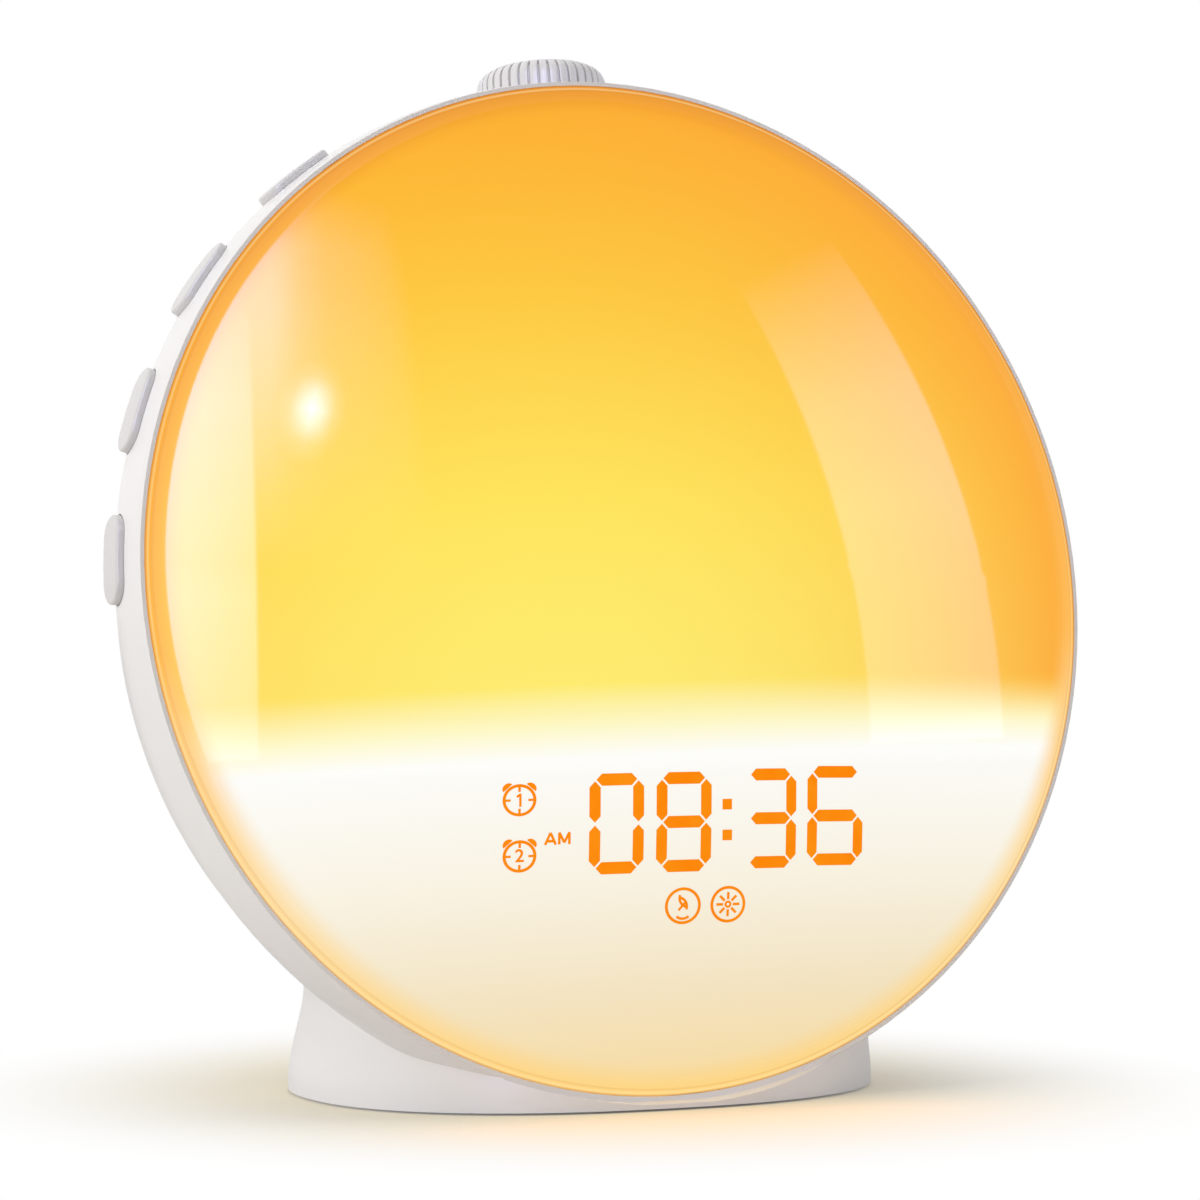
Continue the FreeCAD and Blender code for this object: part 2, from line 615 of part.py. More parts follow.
def usb_shell():
    outer = block(USB_W, USB_H, RECESS_FLOOR - USB_L, RECESS_FLOOR, USB_X, RECESS_Z)
    inner = block(USB_W - 2 * USB_T, USB_H - 2 * USB_T, RECESS_FLOOR - USB_L + USB_T, RECESS_FLOOR + OVERCUT,
                  USB_X, RECESS_Z)
    foot = block(USB_FOOT_W, USB_H, MAIN_BACK, RECESS_FLOOR - USB_L, USB_X, RECESS_Z)
    return outer.cut(inner).fuse(foot)


def usb_tongue():
    start = RECESS_FLOOR - USB_L + USB_T
    return block(TONGUE_W, TONGUE_T, start, RECESS_FLOOR - TONGUE_SUNK, USB_X, RECESS_Z + TONGUE_Z)


def speaker_screw_places():
    return [(x, SPEAKER_Z + z) for x, z in (polar(a, SPEAKER_SCREW_R) for a in SPEAKER_SCREWS)]


def speaker_frame():
    """Pressed basket: flat rim, four-window cone and magnet plate."""
    mouth_r = CONE_R + 0.6
    outline = [(SPEAKER_R, SPEAKER_RIM), (SPEAKER_R, SPEAKER_FACE), (mouth_r, SPEAKER_FACE),
               (mouth_r, SPEAKER_RIM + LOOSE), (MAGNET_R - BASKET_T, BASKET_FLOOR + BASKET_T),
               (CONE_NECK_R, BASKET_FLOOR + BASKET_T), (CONE_NECK_R, BASKET_FLOOR), (MAGNET_R, BASKET_FLOOR),
               (mouth_r + BASKET_T, SPEAKER_RIM)]
    basket = spun(outline, 0, SPEAKER_Z)
    corner = V(MAGNET_R - BASKET_T / 2, BASKET_FLOOR + 2 * BASKET_T, -WINDOW_W / 2)
    window = Part.makeBox(WINDOW_L, WINDOW_H, WINDOW_W, corner)
    windows = [radial(window, angle) for angle in (0, 90, 180, 270)]
    for window in windows:
        window.translate(V(0, 0, SPEAKER_Z))
    holes = [rod(M2_R + SCREW_PLAY, SPEAKER_RIM - OVERCUT, SPEAKER_FACE + OVERCUT, x, z)
             for x, z in speaker_screw_places()]
    return basket.cut(fused(windows + holes))


def speaker_magnet():
    return rod(MAGNET_R, BASKET_FLOOR - MAGNET_H, BASKET_FLOOR, 0, SPEAKER_Z)


def speaker_cone():
    face = SPEAKER_FACE - CONE_SUNK
    outline = [(CONE_R, face), (CONE_R, face - CONE_T), (CONE_NECK_R, face - CONE_DEPTH),
               (0, face - CONE_DEPTH), (0, face - CONE_DEPTH + CONE_T), (CONE_NECK_R, face - CONE_DEPTH + CONE_T)]
    return spun(outline, 0, SPEAKER_Z)


def speaker_gasket():
    ring = tube(SPEAKER_R, SPEAKER_R - GASKET_W, SPEAKER_FACE, SPEAKER_FACE + GASKET_T, 0, SPEAKER_Z)
    holes = [rod(M2_R + SCREW_PLAY, SPEAKER_FACE - OVERCUT, SPEAKER_FACE + GASKET_T + OVERCUT, x, z)
             for x, z in speaker_screw_places()]
    return ring.cut(fused(holes))


def speaker_screws():
    return screw_set(speaker_screw_places(), SPEAKER_RIM, SPEAKER_SCREW_TIP, M2_R, M2_HEAD_R, M2_HEAD_H, facing=-1)


def screw_set(places, seat, tip, shank_r, head_r, head_h, facing):
    """Pan-head screws along the drum's axis; facing is the side of the seat the heads are on."""
    screws = []
    for x, z in places:
        head = rod(head_r, *sorted((seat, seat + facing * head_h)), x, z)
        shank = rod(shank_r, *sorted((seat, tip)), x, z)
        screws.append(head.fuse(shank))
    return Part.makeCompound(screws)


def tray_screws():
    places = [polar(a, TRAY_SCREW_R) for a in TRAY_SCREWS]
    return screw_set(places, LEDGE_BACK + TRAY_T, SEAT_DEPTH + 1.5 * LOOSE, M2_R, M2_HEAD_R, M2_HEAD_H, facing=1)


def cover_screws():
    tip = COVER_SEAM - COVER_SCREW_BITE
    return screw_set(cover_post_places(), COVER_SEAM + WALL, tip, M3_R, M3_HEAD_R, M3_HEAD_H, facing=1)


def battery_door():
    """Round flush door with a coin slot, cut from the drum's own outline."""
    disc = rod(DOOR_R, DRUM_DEPTH - DOOR_T - BACK_FALL, DRUM_DEPTH, BATTERY_X, BATTERY_Z)
    slot = block(DOOR_SLOT_L, DOOR_SLOT_W, door_face() - DOOR_SLOT_D, DRUM_DEPTH + OVERCUT, BATTERY_X, BATTERY_Z)
    return disc.common(drum_solid()).cut(slot)


def door_face():
    """Depth of the drum's back at the door's middle."""
    line = Part.makeLine(V(BATTERY_X, 0, BATTERY_Z), V(BATTERY_X, FAR, BATTERY_Z))
    return line.common(drum_solid()).BoundBox.YMax


def battery_holder():
    """Cup under the door, stepped to hold the cell, standing on the cover's inner face."""
    cup = rod(DOOR_R + BUTTON_GAP + HOLDER_WALL, HOLDER_FRONT, DRUM_DEPTH, BATTERY_X, BATTERY_Z)
    cell_front = HOLDER_FRONT + HOLDER_FLOOR
    cell_bore = rod(CELL_R + BUTTON_GAP, cell_front, DRUM_DEPTH, BATTERY_X, BATTERY_Z)
    door_bore = rod(DOOR_R + BUTTON_GAP, cell_front + CONTACT_T + CELL_T, DRUM_DEPTH, BATTERY_X, BATTERY_Z)
    return cup.common(drum_solid(WALL)).cut(cell_bore.fuse(door_bore))


def battery_contact():
    start = HOLDER_FRONT + HOLDER_FLOOR
    return rod(CONTACT_R, start, start + CONTACT_T, BATTERY_X, BATTERY_Z)


def coin_cell():
    start = HOLDER_FRONT + HOLDER_FLOOR + CONTACT_T
    cell = rod(CELL_R, start, start + CELL_T, BATTERY_X, BATTERY_Z)
    rim = [e for e in cell.Edges if abs(e.CenterOfMass.y - start - CELL_T) < 0.01]
    return cell.makeChamfer(CELL_EDGE, rim)


def knob_cap():
    """Ribbed knob with a rounded top edge and a hub that grips the shaft."""
    body = Part.makeCone(KNOB_BASE_R, KNOB_TOP_R, KNOB_H, V(0, KNOB_DEPTH, KNOB_BOTTOM))
    rim = [e for e in body.Edges if abs(e.CenterOfMass.z - KNOB_TOP) < 0.01]
    body = body.makeFillet(KNOB_EDGE, rim)
    under_roof = KNOB_TOP - KNOB_ROOF
    hollow = knob_axis_rod(KNOB_TOP_R - KNOB_WALL, KNOB_BOTTOM - OVERCUT, under_roof)
    hub = knob_axis_rod(KNOB_HUB_R, KNOB_BOTTOM, under_roof)
    body = body.cut(hollow).fuse(hub).cut(knob_axis_rod(SHAFT_R, KNOB_BOTTOM - OVERCUT, under_roof))
    grooves = []
    for k in range(KNOB_RIBS):
        groove = Part.makeBox(KNOB_WALL, RIB_GAP_W, KNOB_H - KNOB_EDGE + OVERCUT, V(0, -RIB_GAP_W / 2, -OVERCUT))
        groove.rotate(V(0, 0, 0), V(0, 1, 0), -math.degrees(math.atan2(KNOB_BASE_R - KNOB_TOP_R, KNOB_H)))
        groove.translate(V(KNOB_BASE_R - RIB_GAP_D, 0, 0))
        groove.rotate(V(0, 0, 0), V(0, 0, 1), 360 * k / KNOB_RIBS)
        groove.translate(V(0, KNOB_DEPTH, KNOB_BOTTOM))
        grooves.append(groove)
    return body.cut(Part.makeCompound(grooves))


def knob_shaft():
    return knob_axis_rod(SHAFT_R, ENCODER_BOTTOM + SHAFT_FLOOR, KNOB_TOP - KNOB_ROOF)


def snooze_plunger():
    """Sleeve round the shaft that the knob's hub presses down."""
    bottom = BUSHING_TOP + PRESS_TRAVEL + LOOSE
    sleeve = knob_axis_rod(SHAFT_R + SLEEVE_T, bottom, KNOB_BOTTOM)
    return sleeve.cut(knob_axis_rod(SHAFT_R + SHAFT_PLAY, bottom - OVERCUT, KNOB_BOTTOM + OVERCUT))


def encoder_body():
    corner = V(-ENCODER_W / 2, KNOB_DEPTH - ENCODER_W / 2, ENCODER_BOTTOM)
    case = Part.makeBox(ENCODER_W, ENCODER_W, ENCODER_H, corner)
    bushing = knob_axis_rod(BUSHING_R, ENCODER_TOP, BUSHING_TOP)
    bore_bottom = ENCODER_BOTTOM + SHAFT_FLOOR - PRESS_TRAVEL - LOOSE
    bore = knob_axis_rod(SHAFT_R + SHAFT_PLAY, bore_bottom, BUSHING_TOP + OVERCUT)
    return case.fuse(bushing).cut(bore)


def encoder_board():
    corner = V(-ENCODER_BOARD_W / 2, KNOB_DEPTH - ENCODER_W / 2, ENCODER_BOTTOM - BOARD_T)
    return Part.makeBox(ENCODER_BOARD_W, ENCODER_W, BOARD_T, corner)


def side_button():
    """One button along +X of the head frame: cap, retaining flange and stem."""
    cap = stadium(BUTTON_L, BUTTON_W, FLANGE_TOP - BUTTON_FLANGE_T, CREST_R + BUTTON_PROUD + OVERCUT)
    cap = cap.common(rod(CREST_R + BUTTON_PROUD, BUTTON_DEPTH - BUTTON_W, BUTTON_DEPTH + BUTTON_W))
    top = [e for e in cap.Edges if e.BoundBox.XMin > CREST_R - BUTTON_EDGE]
    cap = cap.makeFillet(BUTTON_EDGE, top)
    grow = 2 * BUTTON_FLANGE
    flange = stadium(BUTTON_L + grow, BUTTON_W + grow, FLANGE_TOP - BUTTON_FLANGE_T, FLANGE_TOP)
    stem_tip = SWITCH_TIP + BUTTON_TRAVEL + BUTTON_GAP
    stem = Part.makeBox(FLANGE_TOP - stem_tip, STEM_W, STEM_L, V(stem_tip, BUTTON_DEPTH - STEM_W / 2, -STEM_L / 2))
    return fused([cap, flange, stem])


def side_switches(angles):
    """Side-push switches, one behind each button."""
    switches = []
    base = SWITCH_TIP - NUB_H
    for angle in angles:
        corner = V(base - SWITCH_D, BUTTON_BOARD_FRONT - SWITCH_H, -SWITCH_L / 2)
        case = Part.makeBox(SWITCH_D, SWITCH_H, SWITCH_L, corner)
        nub = Part.makeCylinder(NUB_R, NUB_H, V(base, BUTTON_DEPTH + NUB_OFF, 0), V(1, 0, 0))
        switches.append(radial(case.fuse(nub), angle))
    return Part.makeCompound(switches)


def button_board(mirror):
    """Curved board behind the switches of one side."""
    outer = SWITCH_TIP + OVERCUT
    board = tube(outer, outer - BUTTON_BOARD_W, BUTTON_BOARD_FRONT, BUTTON_BOARD_FRONT + BOARD_T)
    first, last = BUTTON_ANGLES[0] - BOARD_MARGIN, BUTTON_ANGLES[-1] + BOARD_MARGIN
    corner = [V(0, 0, 0)] + [V(x, 0, z) for x, z in (polar(a, FAR) for a in (first, (first + last) / 2, last))]
    wedge = Part.Face(Part.makePolygon(corner + corner[:1])).extrude(V(0, DRUM_DEPTH, 0))
    sector = board.common(wedge)
    if mirror:
        sector = sector.mirror(V(0, 0, 0), V(1, 0, 0))
    return sector


def base_plate():
    """Underside: a visible rim, a spigot inside the shell and a pocket for the pad."""
    rim = oval_plate(FOOT_A, FOOT_B, PLATE_GAP, PLATE_TOP)
    inset_by = WALL + PLATE_PLAY
    spigot = oval_plate(FOOT_A - inset_by, FOOT_B - inset_by, PLATE_TOP, SPIGOT_TOP)
    plate = rim.fuse(spigot.common(behind(LEDGE_BACK + PLATE_PLAY)))
    cuts = [oval_plate(PAD_A + FIT, PAD_B + FIT, 0, PAD_T)]
    for x, y in POSTS:
        for side in (-1, 1):
            cuts.append(upright(M3_HEAD_R + SCREW_PLAY, 0, PAD_T + M3_HEAD_H, side * x, y))
            cuts.append(upright(M3_R + SCREW_PLAY, 0, SPIGOT_TOP + OVERCUT, side * x, y))
    return plate.cut(fused(cuts))


def foot_pad():
    return oval_plate(PAD_A, PAD_B, 0, PAD_T)


def base_screws():
    screws = []
    for x, y in POSTS:
        for side in (-1, 1):
            head = upright(M3_HEAD_R, PAD_T, PAD_T + M3_HEAD_H, side * x, y)
            shank = upright(M3_R, PAD_T + M3_HEAD_H, SPIGOT_TOP + POST_H - 1.5 * PILOT_FLOOR, side * x, y)
            screws.append(head.fuse(shank))
    return Part.makeCompound(screws)


def ballast_weight():
    """Steel block on the base plate that keeps the leaning head steady."""
    bar = Part.makeBox(BALLAST_L, BALLAST_D, BALLAST_H, V(-BALLAST_L / 2, BALLAST_Y, SPIGOT_TOP))
    upright_edges = [e for e in bar.Edges if abs(e.tangentAt(e.FirstParameter).z) > 0.9]
    return bar.makeFillet(BALLAST_EDGE, upright_edges)


def head_pieces():
    pieces = {
        "rear_cover": rear_cover(), "front_diffuser": front_diffuser(), "lens_seal": lens_seal(),
        "light_tray": light_tray(), "led_board": led_board(), "led_emitters": led_emitters(),
        "display_shroud": display_shroud(), "display_light_guides": display_light_guides(),
        "main_board": main_board(), "board_standoffs": board_standoffs(), "main_chips": main_chips(),
        "capacitors": capacitors(), "dc_jack": dc_jack(), "dc_pin": dc_pin(), "usb_shell": usb_shell(),
        "usb_tongue": usb_tongue(), "speaker_frame": speaker_frame(), "speaker_magnet": speaker_magnet(),
        "speaker_cone": speaker_cone(), "speaker_gasket": speaker_gasket(), "speaker_screws": speaker_screws(),
        "tray_screws": tray_screws(), "cover_screws": cover_screws(), "battery_door": battery_door(),
        "battery_holder": battery_holder(), "battery_contact": battery_contact(), "coin_cell": coin_cell(),
        "knob_cap": knob_cap(), "knob_shaft": knob_shaft(), "snooze_plunger": snooze_plunger(),
        "encoder_body": encoder_body(), "encoder_board": encoder_board(),
        "right_button_board": button_board(False), "left_button_board": button_board(True),
        "right_switches": side_switches(BUTTON_ANGLES),
        "left_switches": side_switches([180 - a for a in BUTTON_ANGLES]),
    }
    button = side_button()
    for number, angle in enumerate(reversed(BUTTON_ANGLES), start=1):
        pieces["right_button_%d" % number] = radial(button, angle)
        pieces["left_button_%d" % number] = radial(button, 180 - angle)
    return {name: to_world(shape) for name, shape in pieces.items()}


def main():
    os.makedirs("parts", exist_ok=True)
    pieces = {"housing": housing(), "base_plate": base_plate(), "foot_pad": foot_pad(),
              "base_screws": base_screws(), "ballast_weight": ballast_weight()}
    pieces.update(head_pieces())
    for name, shape in sorted(pieces.items()):
        shape.exportStep("parts/%s.step" % name)
        print(name, "solids", len(shape.Solids), "volume %.1f" % shape.Volume)


main()
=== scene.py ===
# %% [markdown]
# # A glowing sunrise alarm clock
#
# The clock is a round lamp: an opal dome set in a thin moulded rim, leaning back on an oval foot.
# The rigid pieces come from a packed construction model. This lesson loads them, gives every one a
# finish, and models what the construction leaves plain: the signs on the face and the ribbed knob.

# %% Load the construction
import math

import bmesh
import bpy
from mathutils import Matrix, Vector


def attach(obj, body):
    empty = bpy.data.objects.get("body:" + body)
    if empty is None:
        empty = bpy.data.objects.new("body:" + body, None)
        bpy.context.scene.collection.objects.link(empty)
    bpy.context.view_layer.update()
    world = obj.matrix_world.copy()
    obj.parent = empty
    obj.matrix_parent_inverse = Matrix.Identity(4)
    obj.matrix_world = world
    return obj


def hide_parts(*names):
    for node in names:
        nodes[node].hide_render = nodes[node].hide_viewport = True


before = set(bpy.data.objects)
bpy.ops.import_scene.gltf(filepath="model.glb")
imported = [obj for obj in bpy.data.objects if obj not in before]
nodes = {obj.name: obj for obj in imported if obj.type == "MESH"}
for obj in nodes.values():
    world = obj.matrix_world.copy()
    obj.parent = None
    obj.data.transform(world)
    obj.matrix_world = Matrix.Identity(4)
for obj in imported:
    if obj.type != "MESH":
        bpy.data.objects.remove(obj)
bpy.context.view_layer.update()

# %% [markdown]
# The face leans back, so it helps to work in the head's own frame: X to the right, Y back along
# the drum's axis and Z up in the plane of the face, from the middle of the face's edge circle.
# One matrix takes any such point to the world.

# %% The head's frame
MM = 0.001
LEAN = math.radians(9.0)
FACE_R = 90.0 * MM
FACE_MIDDLE = Vector((0, -21.6, 90.9)) * MM
HEAD = Matrix.Translation(FACE_MIDDLE) @ Matrix.Rotation(-LEAN, 4, "X")


def head_point(x, y, z):
    """A point of the head's frame, in millimetres, as a point of the world."""
    return HEAD @ (Vector((x, y, z)) * MM)


print("top of the face", tuple(round(c, 4) for c in head_point(0, 0, 90)))

# %% [markdown]
# The camera stands a little to the left of the clock with a long lens, level with the middle of
# the face. A long lens keeps the circle of the face nearly round.

# %% Camera
CAMERA_PLACE = Vector((-308.9, -675.4, 86.1)) * MM
CAMERA_TURN = math.radians(24.83)
CAMERA_TILT = math.radians(0.13)
LENS_MM, SENSOR_MM = 123.16, 36.0

camera_data = bpy.data.cameras.new("camera")
camera_data.lens = LENS_MM
camera_data.sensor_width = SENSOR_MM
camera_data.sensor_fit = "HORIZONTAL"
camera_data.clip_start = 0.01
camera = bpy.data.objects.new("camera", camera_data)
camera.location = CAMERA_PLACE
camera.rotation_euler = (math.pi / 2 + CAMERA_TILT, 0, -CAMERA_TURN)
bpy.context.scene.collection.objects.link(camera)
bpy.context.scene.camera = camera
print("camera distance", round((CAMERA_PLACE - FACE_MIDDLE).length, 3))

# %% [markdown]
# Materials are node trees. A few helpers start a material with its shader, add a node and set its
# inputs, do a sum on sockets, or make a colour ramp, so that the recipes below stay short.

# %% Helpers for materials


def new_material(name, **shader_values):
    """Material and its shader, with inputs of the shader set by name."""
    material = bpy.data.materials.new(name)
    material.use_nodes = True
    shader = material.node_tree.nodes["Principled BSDF"]
    for key, value in shader_values.items():
        shader.inputs[key.replace("_", " ")].default_value = value
    return material, shader


def add_node(tree, kind, **values):
    """Node of a kind, with each value set on its input or property of that name."""
    node = tree.nodes.new(kind)
    for key, value in values.items():
        if key in node.inputs:
            node.inputs[key].default_value = value
        else:
            setattr(node, key, value)
    return node


def math_node(tree, operation, *values, clamp=False):
    """Result of a sum on sockets and plain numbers."""
    node = add_node(tree, "ShaderNodeMath", operation=operation, use_clamp=clamp)
    for socket, value in zip(node.inputs, values):
        if isinstance(value, float):
            socket.default_value = value
        else:
            tree.links.new(value, socket)
    return node.outputs[0]


def ramp_node(tree, stops):
    """Colour ramp from (place, colour) pairs."""
    node = tree.nodes.new("ShaderNodeValToRGB")
    ramp = node.color_ramp
    while len(ramp.elements) < len(stops):
        ramp.elements.new(0.5)
    for element, (place, colour) in zip(ramp.elements, stops):
        element.position = place
        element.color = (*colour, 1.0)
    return node


def share_ramp(tree, stops):
    """Ramp from (place, share) pairs, each share a shade of grey."""
    return ramp_node(tree, [(place, (share, share, share)) for place, share in stops])


def srgb(red, green, blue):
    """A colour as read off a screen, from 0 to 255, in linear light."""
    channels = [c / 255 for c in (red, green, blue)]
    return tuple(c / 12.92 if c <= 0.04045 else ((c + 0.055) / 1.055) ** 2.4 for c in channels)


def grey(value):
    """An even grey, from 0 to 255, in linear light."""
    return srgb(value, value, value)


print("amber", [round(c, 3) for c in srgb(251, 171, 44)])

# %% [markdown]
# Moulded plastic is never a flat colour. Spark erosion leaves the mould a very fine grain, flow
# makes the tone drift a little, and handling polishes it unevenly. Every plastic and metal here
# uses the same effect, so it is a node group whose sizes each material sets for itself.

# %% Moulded grain group
GRAIN_RELIEF = 0.2 * MM
GRAIN_DETAIL = 3.0
DRIFT_SCALE, DRIFT_DETAIL = 28.0, 2.0
DRIFT_LOW, DRIFT_HIGH = 0.3, 0.7
POLISH_SPREAD = 0.16
COLOUR, NUMBER, VECTOR = "NodeSocketColor", "NodeSocketFloat", "NodeSocketVector"
GRAIN_INPUTS = (("Colour", COLOUR), ("Grain Size", NUMBER), ("Depth", NUMBER), ("Roughness", NUMBER),
                ("Drift", NUMBER))
GRAIN_OUTPUTS = (("Colour", COLOUR), ("Roughness", NUMBER), ("Normal", VECTOR))


def build_grain_group():
    """Fine relief, a slow drift of tone and an uneven polish, as one node group."""
    group = bpy.data.node_groups.new("moulded_grain", "ShaderNodeTree")
    for way, sockets in (("INPUT", GRAIN_INPUTS), ("OUTPUT", GRAIN_OUTPUTS)):
        for name, kind in sockets:
            group.interface.new_socket(name, in_out=way, socket_type=kind)
    link = group.links.new
    start = group.nodes.new("NodeGroupInput")
    end = group.nodes.new("NodeGroupOutput")
    place = group.nodes.new("ShaderNodeTexCoord")
    fine = add_node(group, "ShaderNodeTexNoise", Detail=GRAIN_DETAIL)
    link(place.outputs["Object"], fine.inputs["Vector"])
    link(start.outputs["Grain Size"], fine.inputs["Scale"])
    bump = add_node(group, "ShaderNodeBump", Distance=GRAIN_RELIEF)
    link(start.outputs["Depth"], bump.inputs["Strength"])
    link(fine.outputs["Fac"], bump.inputs["Height"])
    broad = add_node(group, "ShaderNodeTexNoise", Scale=DRIFT_SCALE, Detail=DRIFT_DETAIL)
    link(place.outputs["Object"], broad.inputs["Vector"])
    shade = group.nodes.new("ShaderNodeMapRange")
    shade.inputs["From Min"].default_value = DRIFT_LOW
    shade.inputs["From Max"].default_value = DRIFT_HIGH
    shade.inputs["To Max"].default_value = 1.0
    link(math_node(group, "SUBTRACT", 1.0, start.outputs["Drift"]), shade.inputs["To Min"])
    link(broad.outputs["Fac"], shade.inputs["Value"])
    tint = add_node(group, "ShaderNodeVectorMath", operation="SCALE")
    link(start.outputs["Colour"], tint.inputs[0])
    link(shade.outputs["Result"], tint.inputs["Scale"])
    polish = math_node(group, "MULTIPLY_ADD", broad.outputs["Fac"], POLISH_SPREAD,
                       start.outputs["Roughness"])
    link(tint.outputs["Vector"], end.inputs["Colour"])
    link(polish, end.inputs["Roughness"])
    link(bump.outputs["Normal"], end.inputs["Normal"])
    return group


GRAIN = build_grain_group()
print("group", GRAIN.name, len(GRAIN.nodes), "nodes")


# %% Plastics, board, metal and rubber
def plastic(name, colour, grain=2600.0, depth=0.12, roughness=0.3, drift=0.02, **shader_values):
    """Material that wears the moulded grain; other names are inputs of its shader."""
    material, shader = new_material(name, **shader_values)
    tree = material.node_tree
    group = tree.nodes.new("ShaderNodeGroup")
    group.node_tree = GRAIN
    settings = {"Colour": (*colour, 1.0), "Grain Size": grain, "Depth": depth, "Roughness": roughness,
                "Drift": drift}
    for key, value in settings.items():
        group.inputs[key].default_value = value
    tree.links.new(group.outputs["Colour"], shader.inputs["Base Color"])
    tree.links.new(group.outputs["Roughness"], shader.inputs["Roughness"])
    tree.links.new(group.outputs["Normal"], shader.inputs["Normal"])
    return material


shell_white = plastic("shell_white", srgb(238, 236, 235), depth=0.01, roughness=0.28,
                      Coat_Weight=0.15, Coat_Roughness=0.2)
button_grey = plastic("button_grey", srgb(217, 215, 214), depth=0.02, drift=0.03)
knob_white = plastic("knob_white", srgb(228, 226, 226), depth=0.05, roughness=0.34, drift=0.03)
inner_white = plastic("inner_white", srgb(240, 240, 238), roughness=0.4)
black_plastic = plastic("black_plastic", grey(28), roughness=0.35, drift=0.1)
light_guide = plastic("light_guide", srgb(255, 150, 30), roughness=0.1)
led_yellow = plastic("led_yellow", srgb(250, 226, 120), roughness=0.25)
# Dark rubber whose brown tone is partly painted shadow, warmed and darkened for the contact line under
# the foot.
rubber_and_painted_shadow = plastic("rubber_and_painted_shadow", srgb(78, 62, 50), grain=1500.0, depth=0.4, roughness=0.62, drift=0.12)
board_green = plastic("board_green", srgb(18, 84, 50), grain=900.0, roughness=0.25, drift=0.15)
speaker_black = plastic("speaker_black", grey(34), grain=700.0, depth=0.6, roughness=0.6, drift=0.2)
bright_metal = plastic("bright_metal", grey(196), grain=1200.0, depth=0.05, roughness=0.18, drift=0.06,
                       Metallic=1.0)
zinc_screw = plastic("zinc_screw", grey(176), grain=1800.0, depth=0.2, drift=0.15, Metallic=1.0)
dark_iron = plastic("dark_iron", grey(70), grain=500.0, depth=0.5, roughness=0.45, drift=0.25,
                    Metallic=0.8)
print("plastics and metals ready")

# %% [markdown]
# The lens is opal acrylic over a bank of lamps. Behind it the light is amber at the top, turns
# yellow below, and jumps to white at the display. All this follows the height in the plane of
# the face, so the material turns Object coordinates into the head's frame with a Mapping node
# and feeds the height to a colour ramp. The white panel behind the display sits a little askew,
# so a small share of the sideways place is taken off the height. The lamps stand a little to the
# left of the middle, so the glow deepens steadily away from there. The last few millimetres show
# the lens's own edge, which carries the light round in a ramp of its own, with one dark line of
# painted shade and one bright line of painted highlight, and is satin where the rest is polished.

# %% Lens colours
GLOW_BY_HEIGHT = (
    (0.00, srgb(246, 219, 158)), (0.10, srgb(243, 228, 194)), (0.20, srgb(249, 243, 226)),
    (0.32, srgb(254, 254, 251)), (0.35, srgb(254, 249, 199)), (0.39, srgb(254, 237, 108)),
    (0.56, srgb(255, 229, 88)), (0.77, srgb(254, 207, 60)), (1.00, srgb(252, 184, 40)))
RIM_BY_HEIGHT = (
    (0.00, srgb(254, 214, 128)), (0.20, srgb(253, 222, 160)), (0.36, srgb(253, 206, 126)),
    (0.44, srgb(254, 188, 78)), (0.75, srgb(246, 168, 36)), (1.00, srgb(235, 152, 20)))
DEEP_AMBER = srgb(252, 162, 10)
# How deep the amber gets, how far left the lamps stand, and the heights between which it sets in.
DEEPEST, LAMPS_ASIDE = 0.62, 0.25
DEEPENS_FROM, DEEPENS_AT = 0.34, 0.40
ASKEW = -0.022
# Where the rim's own ramp takes over and where the lens's edge begins, in face radii.
RIM_FROM, RIM_AT = 0.93, 0.995
EDGE_FROM = 0.976
# Painted shade and a painted highlight along the lens's edge: a dark line and a bright line laid into its
# colour.
EDGE_SHADE = ((0.38, 0.0), (0.52, 0.2), (0.64, 0.0), (0.86, 0.0), (0.97, 0.55))
EDGE_GLINT = ((0.62, 0.0), (0.76, 0.50), (0.88, 0.0))
PAINTED_EDGE_LINES = ((EDGE_SHADE, srgb(196, 112, 22)), (EDGE_GLINT, srgb(255, 228, 160)))
GLOSS, SATIN, SATIN_FROM, SATIN_AT = 0.04, 0.6, 0.962, 0.969
ACRYLIC_IOR, LENS_SPECULAR = 1.49, 0.25
GLOW = 0.9
BODY_SHARE = 0.12
print("glow stops", len(GLOW_BY_HEIGHT), "rim stops", len(RIM_BY_HEIGHT))


# %% Lens material
def head_coordinates(tree):
    """Object coordinates turned into the head's frame, in face radii."""
    place = tree.nodes.new("ShaderNodeTexCoord")
    mapping = add_node(tree, "ShaderNodeMapping", vector_type="TEXTURE")
    mapping.inputs["Location"].default_value = FACE_MIDDLE
    mapping.inputs["Rotation"].default_value = (-LEAN, 0, 0)
    mapping.inputs["Scale"].default_value = (FACE_R, FACE_R, FACE_R)
    tree.links.new(place.outputs["Object"], mapping.inputs["Vector"])
    parts = tree.nodes.new("ShaderNodeSeparateXYZ")
    tree.links.new(mapping.outputs["Vector"], parts.inputs["Vector"])
    return parts


def from_middle(tree, parts, aside=0.0):
    """Distance from a line beside the drum's axis, in face radii."""
    flat = tree.nodes.new("ShaderNodeCombineXYZ")
    tree.links.new(math_node(tree, "ADD", parts.outputs["X"], aside), flat.inputs["X"])
    tree.links.new(parts.outputs["Z"], flat.inputs["Z"])
    radius = add_node(tree, "ShaderNodeVectorMath", operation="LENGTH")
    tree.links.new(flat.outputs["Vector"], radius.inputs[0])
    return radius.outputs["Value"]


def stretched(tree, source, low, high, smooth=True):
    """A value turned to 0 at one place and 1 at another."""
    node = add_node(tree, "ShaderNodeMapRange", interpolation_type="SMOOTHSTEP" if smooth else "LINEAR")
    node.inputs["From Min"].default_value = low
    node.inputs["From Max"].default_value = high
    tree.links.new(source, node.inputs["Value"])
    return node.outputs["Result"]


MIX_SHARE, MIX_FIRST, MIX_SECOND, MIX_RESULT = 0, 6, 7, 2


